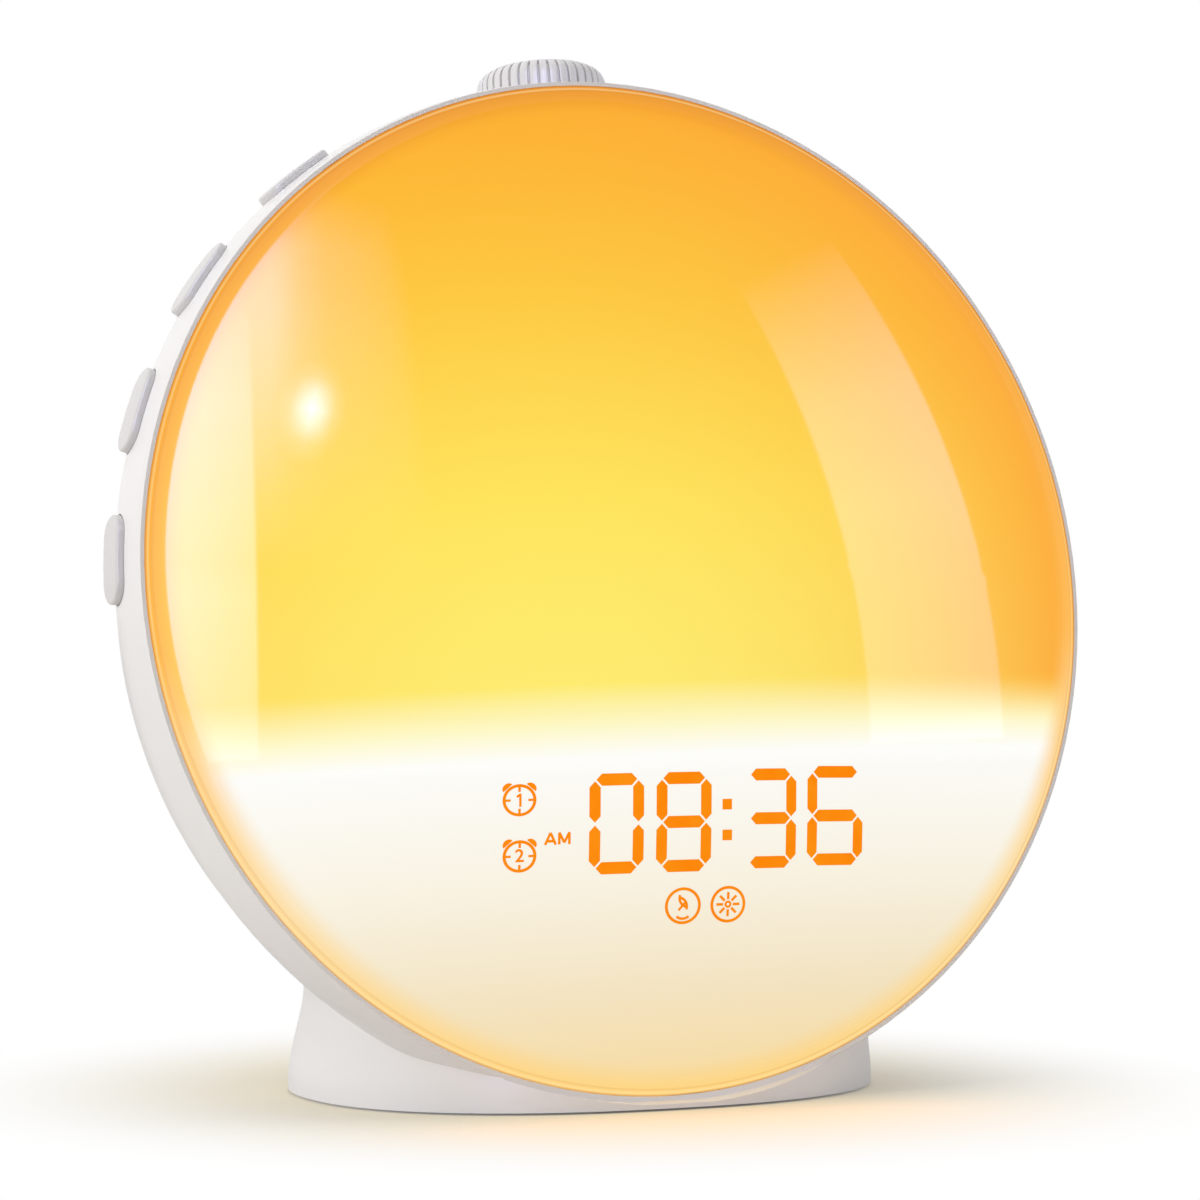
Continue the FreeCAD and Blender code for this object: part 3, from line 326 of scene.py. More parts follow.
def colour_mix(tree, share, first, second):
    """Blend of two colours by a share, each colour a socket or plain numbers."""
    node = add_node(tree, "ShaderNodeMix", data_type="RGBA")
    tree.links.new(share, node.inputs[MIX_SHARE])
    for at, colour in ((MIX_FIRST, first), (MIX_SECOND, second)):
        if isinstance(colour, tuple):
            node.inputs[at].default_value = (*colour, 1.0)
        else:
            tree.links.new(colour, node.inputs[at])
    return node.outputs[MIX_RESULT]


def light_up(tree, shader, colour):
    """Let a surface glow in a colour, over a dim body of the same colour."""
    body = add_node(tree, "ShaderNodeVectorMath", operation="SCALE", Scale=BODY_SHARE)
    tree.links.new(colour, body.inputs[0])
    tree.links.new(body.outputs["Vector"], shader.inputs["Base Color"])
    tree.links.new(colour, shader.inputs["Emission Color"])
    shader.inputs["Emission Strength"].default_value = GLOW


def build_lens_material():
    material, shader = new_material("opal_lens", IOR=ACRYLIC_IOR, Specular_IOR_Level=LENS_SPECULAR)
    tree = material.node_tree
    link = tree.links.new
    parts = head_coordinates(tree)
    radius = from_middle(tree, parts)
    level = math_node(tree, "MULTIPLY_ADD", parts.outputs["X"], ASKEW, parts.outputs["Z"])
    height = stretched(tree, level, -1.0, 1.0, smooth=False)
    glow = ramp_node(tree, GLOW_BY_HEIGHT)
    rim = ramp_node(tree, RIM_BY_HEIGHT)
    link(height, glow.inputs["Fac"])
    link(height, rim.inputs["Fac"])
    away = from_middle(tree, parts, LAMPS_ASIDE)
    share = math_node(tree, "MULTIPLY", math_node(tree, "MULTIPLY", away, away), DEEPEST, clamp=True)
    deep = math_node(tree, "MULTIPLY", share, stretched(tree, height, DEEPENS_FROM, DEEPENS_AT))
    warm = colour_mix(tree, deep, glow.outputs["Color"], DEEP_AMBER)
    colour = colour_mix(tree, stretched(tree, radius, RIM_FROM, RIM_AT), warm, rim.outputs["Color"])
    edge = stretched(tree, radius, EDGE_FROM, 1.0, smooth=False)
    # The edge's painted shade line and painted highlight line go over the glow colour here.
    for stops, tone in PAINTED_EDGE_LINES:
        line = share_ramp(tree, stops)
        link(edge, line.inputs["Fac"])
        colour = colour_mix(tree, line.outputs["Color"], colour, tone)
    satin = stretched(tree, radius, SATIN_FROM, SATIN_AT)
    link(math_node(tree, "MULTIPLY_ADD", satin, SATIN - GLOSS, GLOSS), shader.inputs["Roughness"])
    light_up(tree, shader, colour)
    return material


opal_lens = build_lens_material()
print("lens material", len(opal_lens.node_tree.nodes), "nodes")


# %% Give every node its finish
def dress(material, *names):
    for name in names:
        mesh = nodes[name].data
        mesh.materials.clear()
        mesh.materials.append(material)


buttons = ["%s_button_%d" % (side, k) for side in ("left", "right") for k in range(1, 5)]
dress(shell_white, "housing", "rear_cover", "battery_door", "base_plate")
dress(button_grey, *buttons)
dress(knob_white, "knob_cap")
dress(opal_lens, "front_diffuser")
dress(inner_white, "light_tray", "led_board", "display_shroud", "board_standoffs", "snooze_plunger")
dress(light_guide, "display_light_guides")
dress(led_yellow, "led_emitters")
dress(board_green, "main_board", "encoder_board", "left_button_board", "right_button_board")
dress(black_plastic, "main_chips", "dc_jack", "usb_tongue", "encoder_body", "battery_holder",
      "left_switches", "right_switches")
dress(rubber_and_painted_shadow, "foot_pad", "lens_seal", "speaker_gasket")
dress(speaker_black, "speaker_cone")
dress(bright_metal, "dc_pin", "usb_shell", "battery_contact", "coin_cell", "knob_shaft", "capacitors")
dress(zinc_screw, "base_screws", "cover_screws", "tray_screws", "speaker_screws", "speaker_frame")
dress(dark_iron, "speaker_magnet", "ballast_weight")
print("dressed", len(nodes))

# %% [markdown]
# The digits and signs glow through the lens from behind, so they have no thickness one could
# feel. Each is a thin printed skin that follows the dome. It is drawn flat in the plane of the
# face, cut fine enough to bend, and then every corner is dropped on to the dome, whose shape is
# known: a ball of which the lens is a cap.

# %% The dome under the signs
LENS_EDGE_R, LENS_EDGE_DEPTH, LENS_RISE = 89.1, -0.6, 17.0
BALL_R = (LENS_EDGE_R ** 2 + LENS_RISE ** 2) / (2 * LENS_RISE)
SKIN = 0.06


def dome_depth(x, z):
    """Depth of the lens's outer face at a place of the face, in millimetres."""
    return LENS_EDGE_DEPTH - LENS_RISE + BALL_R - math.sqrt(BALL_R ** 2 - x * x - z * z)


EYE = HEAD.inverted() @ CAMERA_PLACE / MM
print("dome radius", round(BALL_R, 1), "crown depth", round(dome_depth(0, 0), 2))


# %% From the photograph's frame to the face
FRAME_PX = 1200
FOCAL_PX = LENS_MM / SENSOR_MM * FRAME_PX
DOME_ROUNDS = 12
FIRST_DIGIT_PX = (589.3, 873.1)


def on_face(px, py):
    """The place of the face, in millimetres, that shows at a pixel of the 1200 px frame."""
    aim = Vector(((px - FRAME_PX / 2) / FOCAL_PX, -(py - FRAME_PX / 2) / FOCAL_PX, -1.0))
    ray = HEAD.to_3x3().inverted() @ (camera.rotation_euler.to_matrix() @ aim)
    depth = -LENS_RISE
    for _ in range(DOME_ROUNDS):
        reach = (depth - EYE.y) / ray.y
        x, z = EYE.x + ray.x * reach, EYE.z + ray.z * reach
        depth = dome_depth(x, z)
    return x, z


print("digits start at", [round(c, 2) for c in on_face(*FIRST_DIGIT_PX)])

# %% [markdown]
# A seven-segment digit is seven long bars with mitred ends. One bar is a hexagon. The photograph
# shows the bars slanted by the view alone, so they are drawn upright and square in the plane of
# the face.

# %% Digit outlines
SEGMENT = 2.05
SEGMENT_GAP = 0.24
LIT_SEGMENTS = {"0": "abcdef", "8": "abcdefg", "3": "abcdg", "6": "acdefg"}
DIGIT_BOXES = (("0", (589.3, 774.0), (642.9, 873.1)), ("8", (656.5, 772.4), (710.4, 871.0)),
               ("3", (744.5, 768.7), (795.0, 867.5)), ("6", (807.3, 766.0), (861.4, 864.8)))
COLON_BOXES = (((722.4, 798.9), (731.8, 809.4)), ((722.4, 829.7), (731.8, 840.2)))


def bar_outline(start, end):
    """Hexagon with mitred ends between two corner points of a digit."""
    start, end = Vector(start), Vector(end)
    along = (end - start).normalized()
    across = Vector((-along.y, along.x)) * SEGMENT / 2
    start, end = start + along * SEGMENT_GAP, end - along * SEGMENT_GAP
    mitre = along * SEGMENT / 2
    return [start, start + mitre + across, end - mitre + across,
            end, end - mitre - across, start + mitre - across]


def face_box(upper_left, lower_right):
    """Left, right, bottom and top of a box given by two pixels of the photograph's frame."""
    left, top = on_face(*upper_left)
    right, bottom = on_face(*lower_right)
    return left, right, bottom, top


def digit_bars(value, left, right, bottom, top):
    """The lit bars of a digit that fills a box."""
    half = SEGMENT / 2
    x0, x1, z0, z1 = left + half, right - half, bottom + half, top - half
    middle = (z0 + z1) / 2
    ends = {"a": ((x0, z1), (x1, z1)), "b": ((x1, middle), (x1, z1)), "c": ((x1, z0), (x1, middle)),
            "d": ((x0, z0), (x1, z0)), "e": ((x0, z0), (x0, middle)), "f": ((x0, middle), (x0, z1)),
            "g": ((x0, middle), (x1, middle))}
    return [bar_outline(*ends[letter]) for letter in LIT_SEGMENTS[value]]


outlines = []
for value, upper_left, lower_right in DIGIT_BOXES:
    outlines += digit_bars(value, *face_box(upper_left, lower_right))
for corners in COLON_BOXES:
    left, right, bottom, top = face_box(*corners)
    outlines.append([Vector(p) for p in ((left, bottom), (right, bottom), (right, top), (left, top))])
print("bars and dots", len(outlines))

# %% [markdown]
# The signs are drawn from rings, parts of rings and straight strokes, and the bells of the alarm
# clocks are half discs. All sizes are in millimetres of the face, from each sign's middle.

# %% Rings and strokes
RING_STEPS, FEWEST_STEPS = 48, 4
FULL_TURN, HALF_TURN = 360.0, 180.0


def ring(cx, cz, outer, inner, start=0.0, sweep=FULL_TURN):
    """Band between two radii, as closed outlines: one for an arc, two halves for a full ring."""
    if sweep >= FULL_TURN:
        return (ring(cx, cz, outer, inner, start, HALF_TURN)
                + ring(cx, cz, outer, inner, start + HALF_TURN, HALF_TURN))
    steps = max(FEWEST_STEPS, int(RING_STEPS * sweep / FULL_TURN))
    turns = [math.radians(start + sweep * k / steps) for k in range(steps + 1)]
    out = [Vector((cx + outer * math.cos(t), cz + outer * math.sin(t))) for t in turns]
    back = [Vector((cx + inner * math.cos(t), cz + inner * math.sin(t))) for t in reversed(turns)]
    return [out + back]


def stroke(x0, z0, x1, z1, width):
    """Straight bar between two points."""
    start, end = Vector((x0, z0)), Vector((x1, z1))
    along = (end - start).normalized()
    across = Vector((-along.y, along.x)) * width / 2
    return [start + across, start - across, end - across, end + across]


def spoke(cx, cz, turn, first, last, width):
    """Stroke along a ray from a sign's middle."""
    c, s = math.cos(math.radians(turn)), math.sin(math.radians(turn))
    return stroke(cx + c * first, cz + s * first, cx + c * last, cz + s * last, width)


print("ring steps", RING_STEPS)

# %% Round signs
LINE = 0.5
THIN, THINNER = 0.9 * LINE, 0.8 * LINE
ALARM_R, ROUND_R = 2.69, 3.11
SIGN_STRETCH = 1.105
BELL_TURN, BELL_GAP, BELL_STEPS = 42, 0.06, 12
BELL_WIDE, BELL_HIGH = 0.95, 0.78
TICK_END = 0.52
TICK_TURNS = (0, 90, 180, 270)
SUN_OUTER, SUN_INNER = 0.62, 0.24
RAYS, RAY_FROM, RAY_TO = 8, 0.85, 2.05
ARC_R = 1.8
LEAF_STEM = (-0.75, -0.75, 0.55, 0.75)
LEAF_LEFT = (-0.9, -0.15, -18.0, 92.0)
LEAF_RIGHT = (0.95, 1.35, 162.0, 92.0)
RIPPLE = (0.0, -0.6, 228.0, 84.0)
ALARM_ONE_PX, ALARM_TWO_PX = (519.4, 800.3), (519.4, 856.5)
SOUND_PX, SUN_PX = (682.8, 905.8), (727.8, 904.2)


def bell(cx, cz, side):
    """Half disc that sits on the rim of an alarm clock, up and to one side."""
    lean = math.radians(side * BELL_TURN)
    outward = Vector((math.sin(lean), math.cos(lean)))
    along = Vector((outward.y, -outward.x))
    middle = Vector((cx, cz)) + outward * (ALARM_R + BELL_GAP)
    turns = [math.pi * k / BELL_STEPS for k in range(BELL_STEPS + 1)]
    return [middle + along * BELL_WIDE * math.cos(t) + outward * BELL_HIGH * math.sin(t) for t in turns]


def alarm_sign(cx, cz):
    """Clock outline with two bells and four ticks."""
    shapes = ring(cx, cz, ALARM_R, ALARM_R - LINE) + [bell(cx, cz, -1), bell(cx, cz, 1)]
    ticks = [spoke(cx, cz, turn, ALARM_R - LINE, ALARM_R * TICK_END, THINNER) for turn in TICK_TURNS]
    return shapes + ticks


def sun_sign(cx, cz):
    """Ringed sun: a small ring and eight rays."""
    shapes = ring(cx, cz, ROUND_R, ROUND_R - LINE) + ring(cx, cz, SUN_OUTER, SUN_INNER)
    return shapes + [spoke(cx, cz, k * 360 / RAYS, RAY_FROM, RAY_TO, THIN) for k in range(RAYS)]


def sound_sign(cx, cz):
    """Ringed leaf over a ripple, a plain sign for nature sounds."""
    shapes = ring(cx, cz, ROUND_R, ROUND_R - LINE)
    for x, z, start, sweep in (LEAF_LEFT, LEAF_RIGHT):
        shapes += ring(cx + x, cz + z, ARC_R, ARC_R - THIN, start, sweep)
    x0, z0, x1, z1 = LEAF_STEM
    shapes.append(stroke(cx + x0, cz + z0, cx + x1, cz + z1, THINNER))
    x, z, start, sweep = RIPPLE
    return shapes + ring(cx + x, cz + z, ARC_R, ARC_R - THIN, start, sweep)


def stretch_sign(shapes, cx):
    """The signs are a little wider than tall, as the digits' panel prints them."""
    return [[Vector((cx + (p.x - cx) * SIGN_STRETCH, p.y)) for p in shape] for shape in shapes]


alarm_one, alarm_two = on_face(*ALARM_ONE_PX), on_face(*ALARM_TWO_PX)
sound_place, sun_place = on_face(*SOUND_PX), on_face(*SUN_PX)
SIGNS = ((alarm_sign, alarm_one), (alarm_sign, alarm_two), (sun_sign, sun_place),
         (sound_sign, sound_place))
for draw, place in SIGNS:
    outlines += stretch_sign(draw(*place), place[0])
print("outlines with the signs", len(outlines))

# %% Letters and the numeral 1
LETTER_LINE = 0.46
LETTERS_PX = (557.5, 838.6)
A_MIDDLE, M_MIDDLE = -1.27, 1.2
LETTER_A = ((-0.95, -1.0, 0.0, 1.0), (0.0, 1.0, 0.95, -1.0), (-0.6, -0.4, 0.6, -0.4))
LETTER_M = ((-0.9, -1.0, -0.9, 1.0), (0.9, -1.0, 0.9, 1.0), (-0.9, 1.0, 0.0, -0.7), (0.0, -0.7, 0.9, 1.0))
STEM_LINE, STEM_OF_ONE = 0.42, ((0.15, -1.1, 0.15, 1.1),)
FLAG_LINE, FLAG_OF_ONE = 0.4, ((0.2, 1.0, -0.5, 0.55),)


def letter(lines, width, cx, cz):
    """Strokes of one width, given from the letter's middle."""
    return [stroke(cx + x0, cz + z0, cx + x1, cz + z1, width) for x0, z0, x1, z1 in lines]


letters_x, letters_z = on_face(*LETTERS_PX)
outlines += letter(LETTER_A, LETTER_LINE, letters_x + A_MIDDLE, letters_z)
outlines += letter(LETTER_M, LETTER_LINE, letters_x + M_MIDDLE, letters_z)
outlines += letter(STEM_OF_ONE, STEM_LINE, *alarm_one) + letter(FLAG_OF_ONE, FLAG_LINE, *alarm_one)
print("all outlines", len(outlines))

# %% [markdown]
# The 2 of the second alarm has a curve, so it is a text object, turned into a mesh that joins the
# strokes. Then the whole flat drawing is cut by parallel planes, so that no face is long enough to
# leave the dome, and dropped on to it.

# %% The drawing on the dome
TEXT_SIZE, TEXT_STRETCH, TEXT_WEIGHT = 3.0, 1.1, 0.06
CUT_STEP = 1.6
ORANGE_SCALE = 220.0
ORANGE_TONES = ((0.3, srgb(255, 136, 6)), (0.7, srgb(255, 146, 16)))


def text_mesh(words, place):
    """A word as a flat mesh at a place of the face."""
    curve = bpy.data.curves.new("sign_text", "FONT")
    curve.body = words
    curve.size = TEXT_SIZE
    curve.align_x = "CENTER"
    curve.align_y = "CENTER"
    curve.offset = TEXT_WEIGHT
    maker = bpy.data.objects.new("sign_text", curve)
    bpy.context.scene.collection.objects.link(maker)
    bpy.context.view_layer.update()
    mesh = bpy.data.meshes.new_from_object(maker.evaluated_get(bpy.context.evaluated_depsgraph_get()))
    bpy.data.objects.remove(maker)
    stretch = Matrix.Diagonal((TEXT_STRETCH, 1, 1, 1))
    mesh.transform(Matrix.Translation((place[0], place[1], 0)) @ stretch)
    return mesh


def drawing_mesh(name, flat_outlines, lettering):
    """One flat mesh, in millimetres of the face, of the outlines and a mesh of text."""
    work = bmesh.new()
    for outline in flat_outlines:
        corners = [work.verts.new((p.x, p.y, 0)) for p in outline]
        work.faces.new(corners)
    work.from_mesh(lettering)
    bmesh.ops.triangulate(work, faces=work.faces[:])
    mesh = bpy.data.meshes.new(name)
    work.to_mesh(mesh)
    work.free()
    return mesh


def bend_to_dome(mesh, lift):
    """Cut the flat drawing into strips and drop it on to the dome."""
    work = bmesh.new()
    work.from_mesh(mesh)
    for axis in (0, 1):
        low = min(v.co[axis] for v in work.verts)
        high = max(v.co[axis] for v in work.verts)
        for k in range(1, int((high - low) / CUT_STEP) + 1):
            place, normal = Vector(), Vector()
            place[axis] = low + k * CUT_STEP
            normal[axis] = 1.0
            bmesh.ops.bisect_plane(work, geom=work.verts[:] + work.edges[:] + work.faces[:],
                                   plane_co=place, plane_no=normal)
    for vert in work.verts:
        x, z = vert.co.x, vert.co.y
        vert.co = head_point(x, dome_depth(x, z) - lift, z)
    bmesh.ops.recalc_face_normals(work, faces=work.faces[:])
    outward = HEAD.to_3x3() @ Vector((0, -1, 0))
    for face in work.faces:
        if face.normal.dot(outward) < 0:
            face.normal_flip()
    work.to_mesh(mesh)
    work.free()


def glyph_material():
    """Orange light behind opal, whose tone swims a little."""
    material, shader = new_material("digit_orange", Roughness=0.1, Specular_IOR_Level=0.03)
    tree = material.node_tree
    place = tree.nodes.new("ShaderNodeTexCoord")
    noise = add_node(tree, "ShaderNodeTexNoise", Scale=ORANGE_SCALE, Detail=DRIFT_DETAIL)
    tree.links.new(place.outputs["Object"], noise.inputs["Vector"])
    tone = ramp_node(tree, ORANGE_TONES)
    tree.links.new(noise.outputs["Fac"], tone.inputs["Fac"])
    light_up(tree, shader, tone.outputs["Color"])
    return material


def finish_piece(mesh, name, material, body):
    """Put a mesh into the scene as a piece that rides a body."""
    piece = bpy.data.objects.new(name, mesh)
    bpy.context.scene.collection.objects.link(piece)
    mesh.materials.clear()
    mesh.materials.append(material)
    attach(piece, body)


signs = drawing_mesh("display_signs", outlines, text_mesh("2", alarm_two))
bend_to_dome(signs, SKIN)
finish_piece(signs, "display_signs", glyph_material(), "clock_body")
print("signs", len(signs.vertices), "points")

# %% [markdown]
# The knob is a squat cap with a round shoulder and fine ribs for the fingers. The construction
# holds a plainer one. Here it starts as a low cylinder with four faces to each rib. The top is
# raised ring by ring into the shoulder, every fourth column of side faces is pushed in to leave a
# groove, the underside is hollowed, and a small bevel softens what the mould would soften.

# %% Knob: the turned body
KNOB_BASE = (0.0, 25.0, 92.4)
KNOB_RIBS, FACES_PER_RIB = 40, 4
KNOB_R, KNOB_SKIRT = 12.1, 0.5
KNOB_RINGS = ((12.0, 3.6), (11.9, 4.6), (11.5, 5.6), (10.8, 6.4), (9.8, 7.0), (8.4, 7.3),
              (4.0, 7.4), (1.2, 7.4))
# A face points straight up or down where its normal's Z passes this.
SQUARE_ON = 0.9


def select_faces(obj, test):
    """Select, in edit mode, the faces whose middle and direction pass a test, in millimetres."""
    work = bmesh.from_edit_mesh(obj.data)
    for face in work.faces:
        face.select_set(test(face.calc_center_median() / MM, face.normal))
    work.select_flush_mode()
    bmesh.update_edit_mesh(obj.data)


bpy.ops.object.select_all(action="DESELECT")
bpy.ops.mesh.primitive_cylinder_add(vertices=FACES_PER_RIB * KNOB_RIBS, radius=KNOB_R * MM,
                                    depth=KNOB_SKIRT * MM, location=(0, 0, KNOB_SKIRT / 2 * MM))
knob = bpy.context.active_object
knob.name = "ribbed_knob"
bpy.ops.object.transform_apply(location=True)
bpy.ops.object.mode_set(mode="EDIT")
bpy.ops.mesh.select_mode(type="FACE")
bpy.ops.mesh.select_all(action="DESELECT")
select_faces(knob, lambda place, normal: normal.z > SQUARE_ON)
last_radius, last_height = KNOB_R, KNOB_SKIRT
for ring_radius, ring_height in KNOB_RINGS:
    rise = (0, 0, (ring_height - last_height) * MM)
    bpy.ops.mesh.extrude_region_move(TRANSFORM_OT_translate={"value": rise})
    shrink = ring_radius / last_radius
    bpy.ops.transform.resize(value=(shrink, shrink, 1.0), center_override=(0, 0, ring_height * MM))
    last_radius, last_height = ring_radius, ring_height
bpy.ops.mesh.merge(type="CENTER")
bpy.ops.object.mode_set(mode="OBJECT")
print("knob body", len(knob.data.vertices), "points")

# %% Knob: ribs, underside and edges
COLUMN = math.tau / (FACES_PER_RIB * KNOB_RIBS)
GROOVE_DEPTH, GROOVE_END_R = 0.75, 9.6
KNOB_WALL, KNOB_HOLLOW, UNDERSIDE = 2.0, 3.0, 0.01
EDGE_WIDTH, EDGE_STEPS = 0.12, 2
EDGE_ANGLE, SMOOTH_ANGLE = math.radians(35), math.radians(30)


def in_groove(place, normal):
    """One column of side faces out of each rib's four."""
    column = int((math.atan2(place.y, place.x) % math.tau) / COLUMN)
    outside = math.hypot(place.x, place.y) > GROOVE_END_R
    return column % FACES_PER_RIB == 0 and place.z > KNOB_SKIRT and outside


bpy.ops.object.mode_set(mode="EDIT")
select_faces(knob, in_groove)
bpy.ops.mesh.extrude_region_shrink_fatten(TRANSFORM_OT_shrink_fatten={"value": -GROOVE_DEPTH * MM})
select_faces(knob, lambda place, normal: normal.z < -SQUARE_ON and place.z < UNDERSIDE)
bpy.ops.mesh.inset(thickness=KNOB_WALL * MM)
bpy.ops.mesh.extrude_region_move(TRANSFORM_OT_translate={"value": (0, 0, KNOB_HOLLOW * MM)})
bpy.ops.mesh.select_all(action="SELECT")
bpy.ops.mesh.normals_make_consistent(inside=False)
bpy.ops.object.mode_set(mode="OBJECT")
soften = knob.modifiers.new("soften", "BEVEL")
soften.width = EDGE_WIDTH * MM
soften.segments = EDGE_STEPS
soften.limit_method = "ANGLE"
soften.angle_limit = EDGE_ANGLE
bpy.ops.object.modifier_apply(modifier="soften")
knob.data.transform(HEAD @ Matrix.Translation(Vector(KNOB_BASE) * MM))
bpy.ops.object.shade_smooth_by_angle(angle=SMOOTH_ANGLE)
knob.data.materials.append(knob_white)
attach(knob, "knob")
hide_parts("knob_cap")
knob.data.calc_loop_triangles()
print("knob", len(knob.data.loop_triangles), "triangles")

# %% [markdown]
# The floor is one pale sheet. The camera sees a warmer colour on it than the one that lights the
# clock from below: a painted glow, the lens's warm light on the table painted into the floor's colour.
# Away from the clock it turns plain white, which hides the horizon. The world gives even studio
# light, and is white to the camera, in gloss and through clear things.

# %% Floor
FLOOR_SIZE = 6.0
FLOOR_ALBEDO = (0.76, 0.73, 0.70)
# Painted glow: the warm colour the camera sees near the clock, standing for the lens's light on the
# table.
FLOOR_PAINTED_GLOW = (0.83, 0.73, 0.50)
FLOOR_WHITE_FROM, FLOOR_WHITE_AT = 0.02, 0.125

bpy.ops.object.select_all(action="DESELECT")
bpy.ops.mesh.primitive_plane_add(size=FLOOR_SIZE, location=(0, 0, 0))
floor = bpy.context.active_object
floor.name = "floor"


def build_floor_material():
    """Matt floor with a painted warm glow near the clock, which turns plain white to the camera away from
    it.
    """
    material = bpy.data.materials.new("pale_floor")
    material.use_nodes = True
    tree = material.node_tree
    link = tree.links.new
    tree.nodes.remove(tree.nodes["Principled BSDF"])
    camera_ray = tree.nodes.new("ShaderNodeLightPath").outputs["Is Camera Ray"]
    matt = tree.nodes.new("ShaderNodeBsdfDiffuse")
    link(colour_mix(tree, camera_ray, FLOOR_ALBEDO, FLOOR_PAINTED_GLOW), matt.inputs["Color"])
    place = tree.nodes.new("ShaderNodeTexCoord")
    away = add_node(tree, "ShaderNodeVectorMath", operation="LENGTH")
    link(place.outputs["Object"], away.inputs[0])
    far = stretched(tree, away.outputs["Value"], FLOOR_WHITE_FROM, FLOOR_WHITE_AT)
    white = tree.nodes.new("ShaderNodeEmission")
    blend = tree.nodes.new("ShaderNodeMixShader")
    link(math_node(tree, "MULTIPLY", far, camera_ray), blend.inputs[0])
    link(matt.outputs[0], blend.inputs[1])
    link(white.outputs[0], blend.inputs[2])
    link(blend.outputs[0], tree.nodes["Material Output"].inputs["Surface"])
    return material


floor.data.materials.append(build_floor_material())
print("floor", tuple(floor.dimensions))

# %% World
WORLD_LIGHT = 0.38

world = bpy.data.worlds.new("studio")
bpy.context.scene.world = world
world.use_nodes = True
world_tree = world.node_tree
background = world_tree.nodes["Background"]
background.inputs["Color"].default_value = (1.0, 1.0, 1.0, 1.0)
path = world_tree.nodes.new("ShaderNodeLightPath")
shown = path.outputs["Is Camera Ray"]
for ray in ("Is Glossy Ray", "Is Transmission Ray"):
    shown = math_node(world_tree, "MAXIMUM", shown, path.outputs[ray])
level = world_tree.nodes.new("ShaderNodeMapRange")
level.inputs["To Min"].default_value = WORLD_LIGHT
level.inputs["To Max"].default_value = 1.0
world_tree.links.new(shown, level.inputs["Value"])
world_tree.links.new(level.outputs["Result"], background.inputs["Strength"])
print("world light", WORLD_LIGHT)

# %% [markdown]
# Three soft lamps light the clock, and a faint one stands for the light that the lens throws on
# the table. What the polished lens mirrors is set as in a studio: two pale cards to its
# left, one to its right and a small round spot. They only show in gloss and light nothing. The
# right card and the spot stand where the dome turns the camera's look to, by the mirror rule, and
# the two on the left in a plain direction. Their brightness fades across and along, so a card is
# a lamp whose strength follows two ramps.


# %% Lamps
def area_lamp(name, place, target, width, height, power, shape="RECTANGLE"):
    """Lamp turned to a target, which the camera doesn't see."""
    data = bpy.data.lights.new(name, "AREA")
    data.shape = shape
    data.size, data.size_y = width, height
    data.energy = power
    lamp = bpy.data.objects.new(name, data)
    lamp.location = place
    lamp.rotation_euler = (Vector(target) - Vector(place)).to_track_quat("-Z", "Y").to_euler()
    lamp.visible_camera = False
    bpy.context.scene.collection.objects.link(lamp)
    return lamp


LENS_LIGHT = srgb(255, 160, 60)

area_lamp("key", (-1.45, -0.15, 0.6), FACE_MIDDLE, width=0.8, height=0.8, power=11.8)
area_lamp("fill", (1.1, -0.4, 0.7), FACE_MIDDLE, width=0.7, height=0.9, power=2.6)
area_lamp("top", (0.0, 0.2, 1.5), FACE_MIDDLE, width=1.2, height=1.2, power=6.5)
lens_glow = area_lamp("lens_glow", head_point(0, -26, -62), (0, -0.12, 0),
                      width=0.10, height=0.05, power=0.015)
lens_glow.data.color = LENS_LIGHT
for lamp in [o for o in bpy.data.objects if o.type == "LIGHT"]:
    lamp.visible_glossy = False
print("lamps", len(bpy.data.lights))


# %% Cards for the gloss
CARD_REACH = 1.2
RIGHT_LOW_PX, RIGHT_HIGH_PX = (939, 740), (783, 260)
SPOT_LOW_PX, SPOT_HIGH_PX = (300, 461), (323, 362)


def mirrored(px, py):
    """The point at the cards' reach that the lens mirrors at a pixel of the 1200 px frame."""
    x, z = on_face(px, py)
    spot = Vector((x, dome_depth(x, z), z))
    normal = (spot - Vector((0, LENS_EDGE_DEPTH - LENS_RISE + BALL_R, 0))).normalized()
    look = (spot - EYE).normalized()
    aim = HEAD.to_3x3() @ (look - 2 * look.dot(normal) * normal)
    return head_point(*spot) + aim * (CARD_REACH / math.hypot(aim.x, aim.y))


def toward(azimuth, elevation):
    """The point at the cards' reach in a direction, in degrees from the clock's own front."""
    turn = math.radians(azimuth)
    way = Vector((math.sin(turn), -math.cos(turn), math.tan(math.radians(elevation))))
    return FACE_MIDDLE + way * CARD_REACH


DAYLIGHT = (0.54, 0.54, 1.0)
# Fades across and along the cards: pairs of a place from 0 to 1 and a share of the brightness.
EVEN = ((0.0, 1.0), (1.0, 1.0))
LEFT_ACROSS = ((0.0, 1.0), (1.0, 0.5))
LEFT_ALONG = ((0.0, 0.3), (0.1, 0.6), (0.27, 0.8), (0.46, 0.72), (0.66, 0.5), (0.79, 0.3), (0.93, 0.1),
              (1.0, 0.0))
SOFT_ACROSS = ((0.0, 0.9), (0.29, 0.8), (0.44, 0.7), (0.54, 0.38), (0.65, 0.2), (0.92, 0.07), (1.0, 0.0))
SOFT_ALONG = ((0.0, 0.0), (0.12, 0.25), (0.29, 0.7), (0.42, 0.9), (0.53, 1.0), (0.75, 0.9), (1.0, 0.0))
RIGHT_ALONG = ((0.0, 0.65), (0.22, 0.75), (0.42, 1.0), (0.63, 0.95), (0.9, 0.3), (1.0, 0.0))
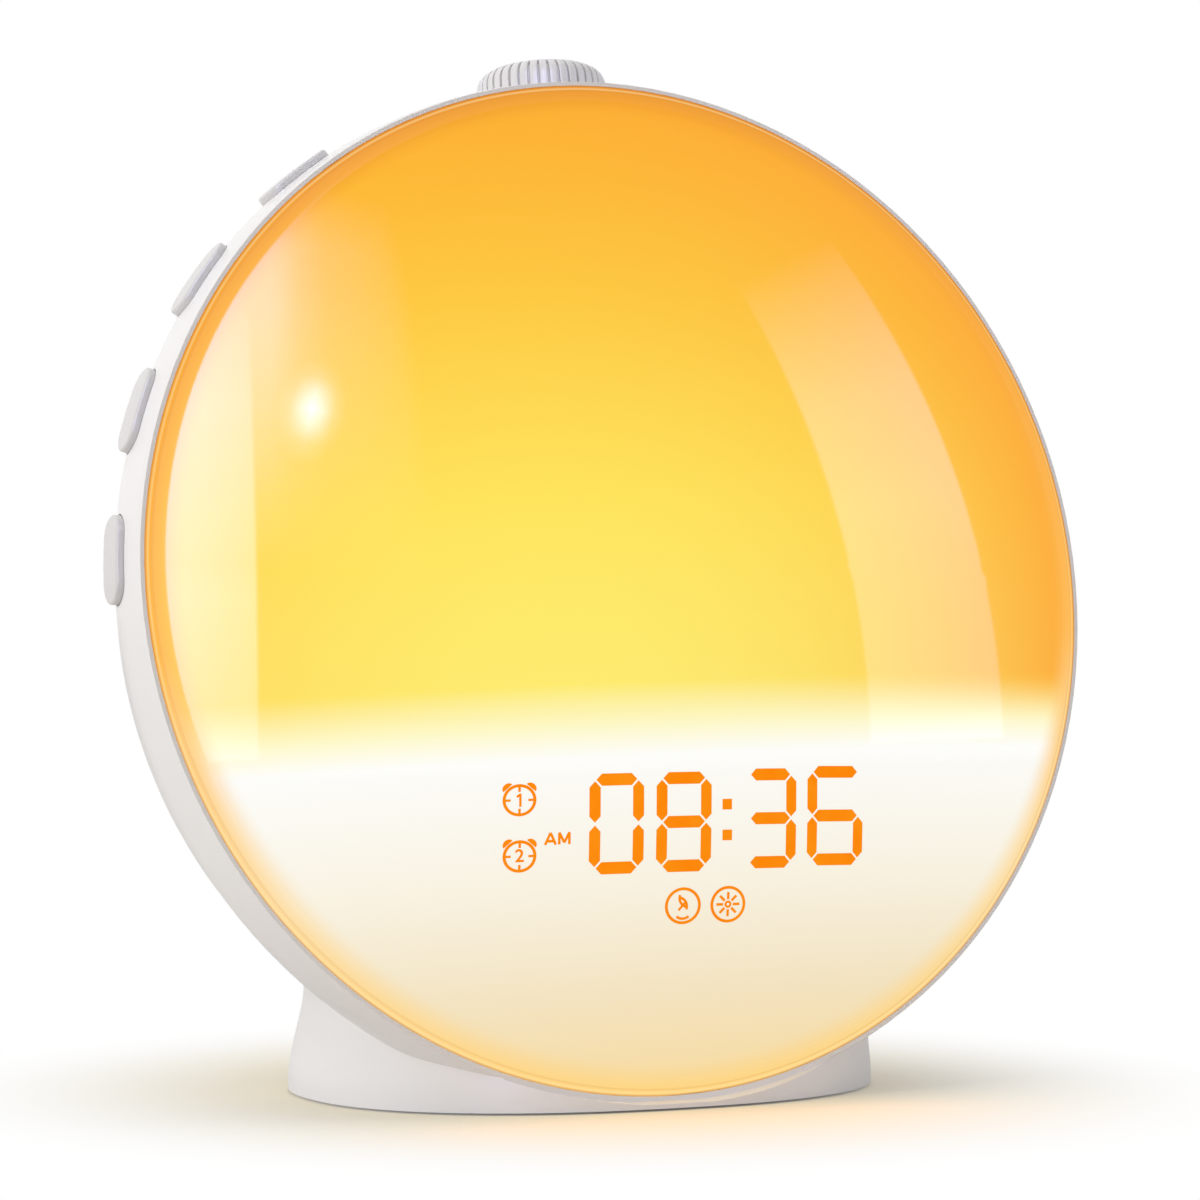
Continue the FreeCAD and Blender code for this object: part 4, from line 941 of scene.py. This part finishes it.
SOFT_ENDS = ((0.0, 0.0), (0.18, 0.14), (0.34, 0.6), (0.5, 1.0), (0.66, 0.6), (0.82, 0.14), (1.0, 0.0))


def card(name, lower, upper, width, brightness, across_fade, along_fade, shape="RECTANGLE"):
    """Glowing card that stands between two points."""
    middle, length = (lower + upper) / 2, (upper - lower).length
    area = width * length * (math.pi / 4 if shape == "ELLIPSE" else 1.0)
    lamp = area_lamp(name, middle, FACE_MIDDLE, width, length, brightness * math.pi * area, shape)
    rise = (upper - lower).normalized()
    across = rise.cross(middle - FACE_MIDDLE).normalized()
    outward = across.cross(rise)
    lamp.rotation_euler = Matrix((across, rise, outward)).transposed().to_euler()
    lamp.visible_diffuse = False
    lamp.data.color = DAYLIGHT
    lamp.data.use_nodes = True
    tree = lamp.data.node_tree
    place = tree.nodes.new("ShaderNodeNewGeometry")
    parts = tree.nodes.new("ShaderNodeSeparateXYZ")
    tree.links.new(place.outputs["Parametric"], parts.inputs["Vector"])
    fades = []
    for side, stops in (("X", across_fade), ("Y", along_fade)):
        fade = share_ramp(tree, stops)
        tree.links.new(parts.outputs[side], fade.inputs["Fac"])
        fades.append(fade.outputs["Color"])
    tree.links.new(math_node(tree, "MULTIPLY", *fades), tree.nodes["Emission"].inputs["Strength"])


card("card_left", toward(-23.7, -1), toward(-23.7, 46), width=0.22, brightness=33.0,
     across_fade=LEFT_ACROSS, along_fade=LEFT_ALONG)
card("card_soft", toward(-16, 18), toward(-11, 57), width=0.69, brightness=29.0,
     across_fade=SOFT_ACROSS, along_fade=SOFT_ALONG)
card("card_right", mirrored(*RIGHT_LOW_PX), mirrored(*RIGHT_HIGH_PX), width=0.38, brightness=7.3,
     across_fade=EVEN, along_fade=RIGHT_ALONG)
card("spot", mirrored(*SPOT_LOW_PX), mirrored(*SPOT_HIGH_PX), width=0.165, brightness=46.0,
     across_fade=SOFT_ENDS, along_fade=SOFT_ENDS, shape="ELLIPSE")

bpy.context.scene.view_settings.view_transform = "Standard"
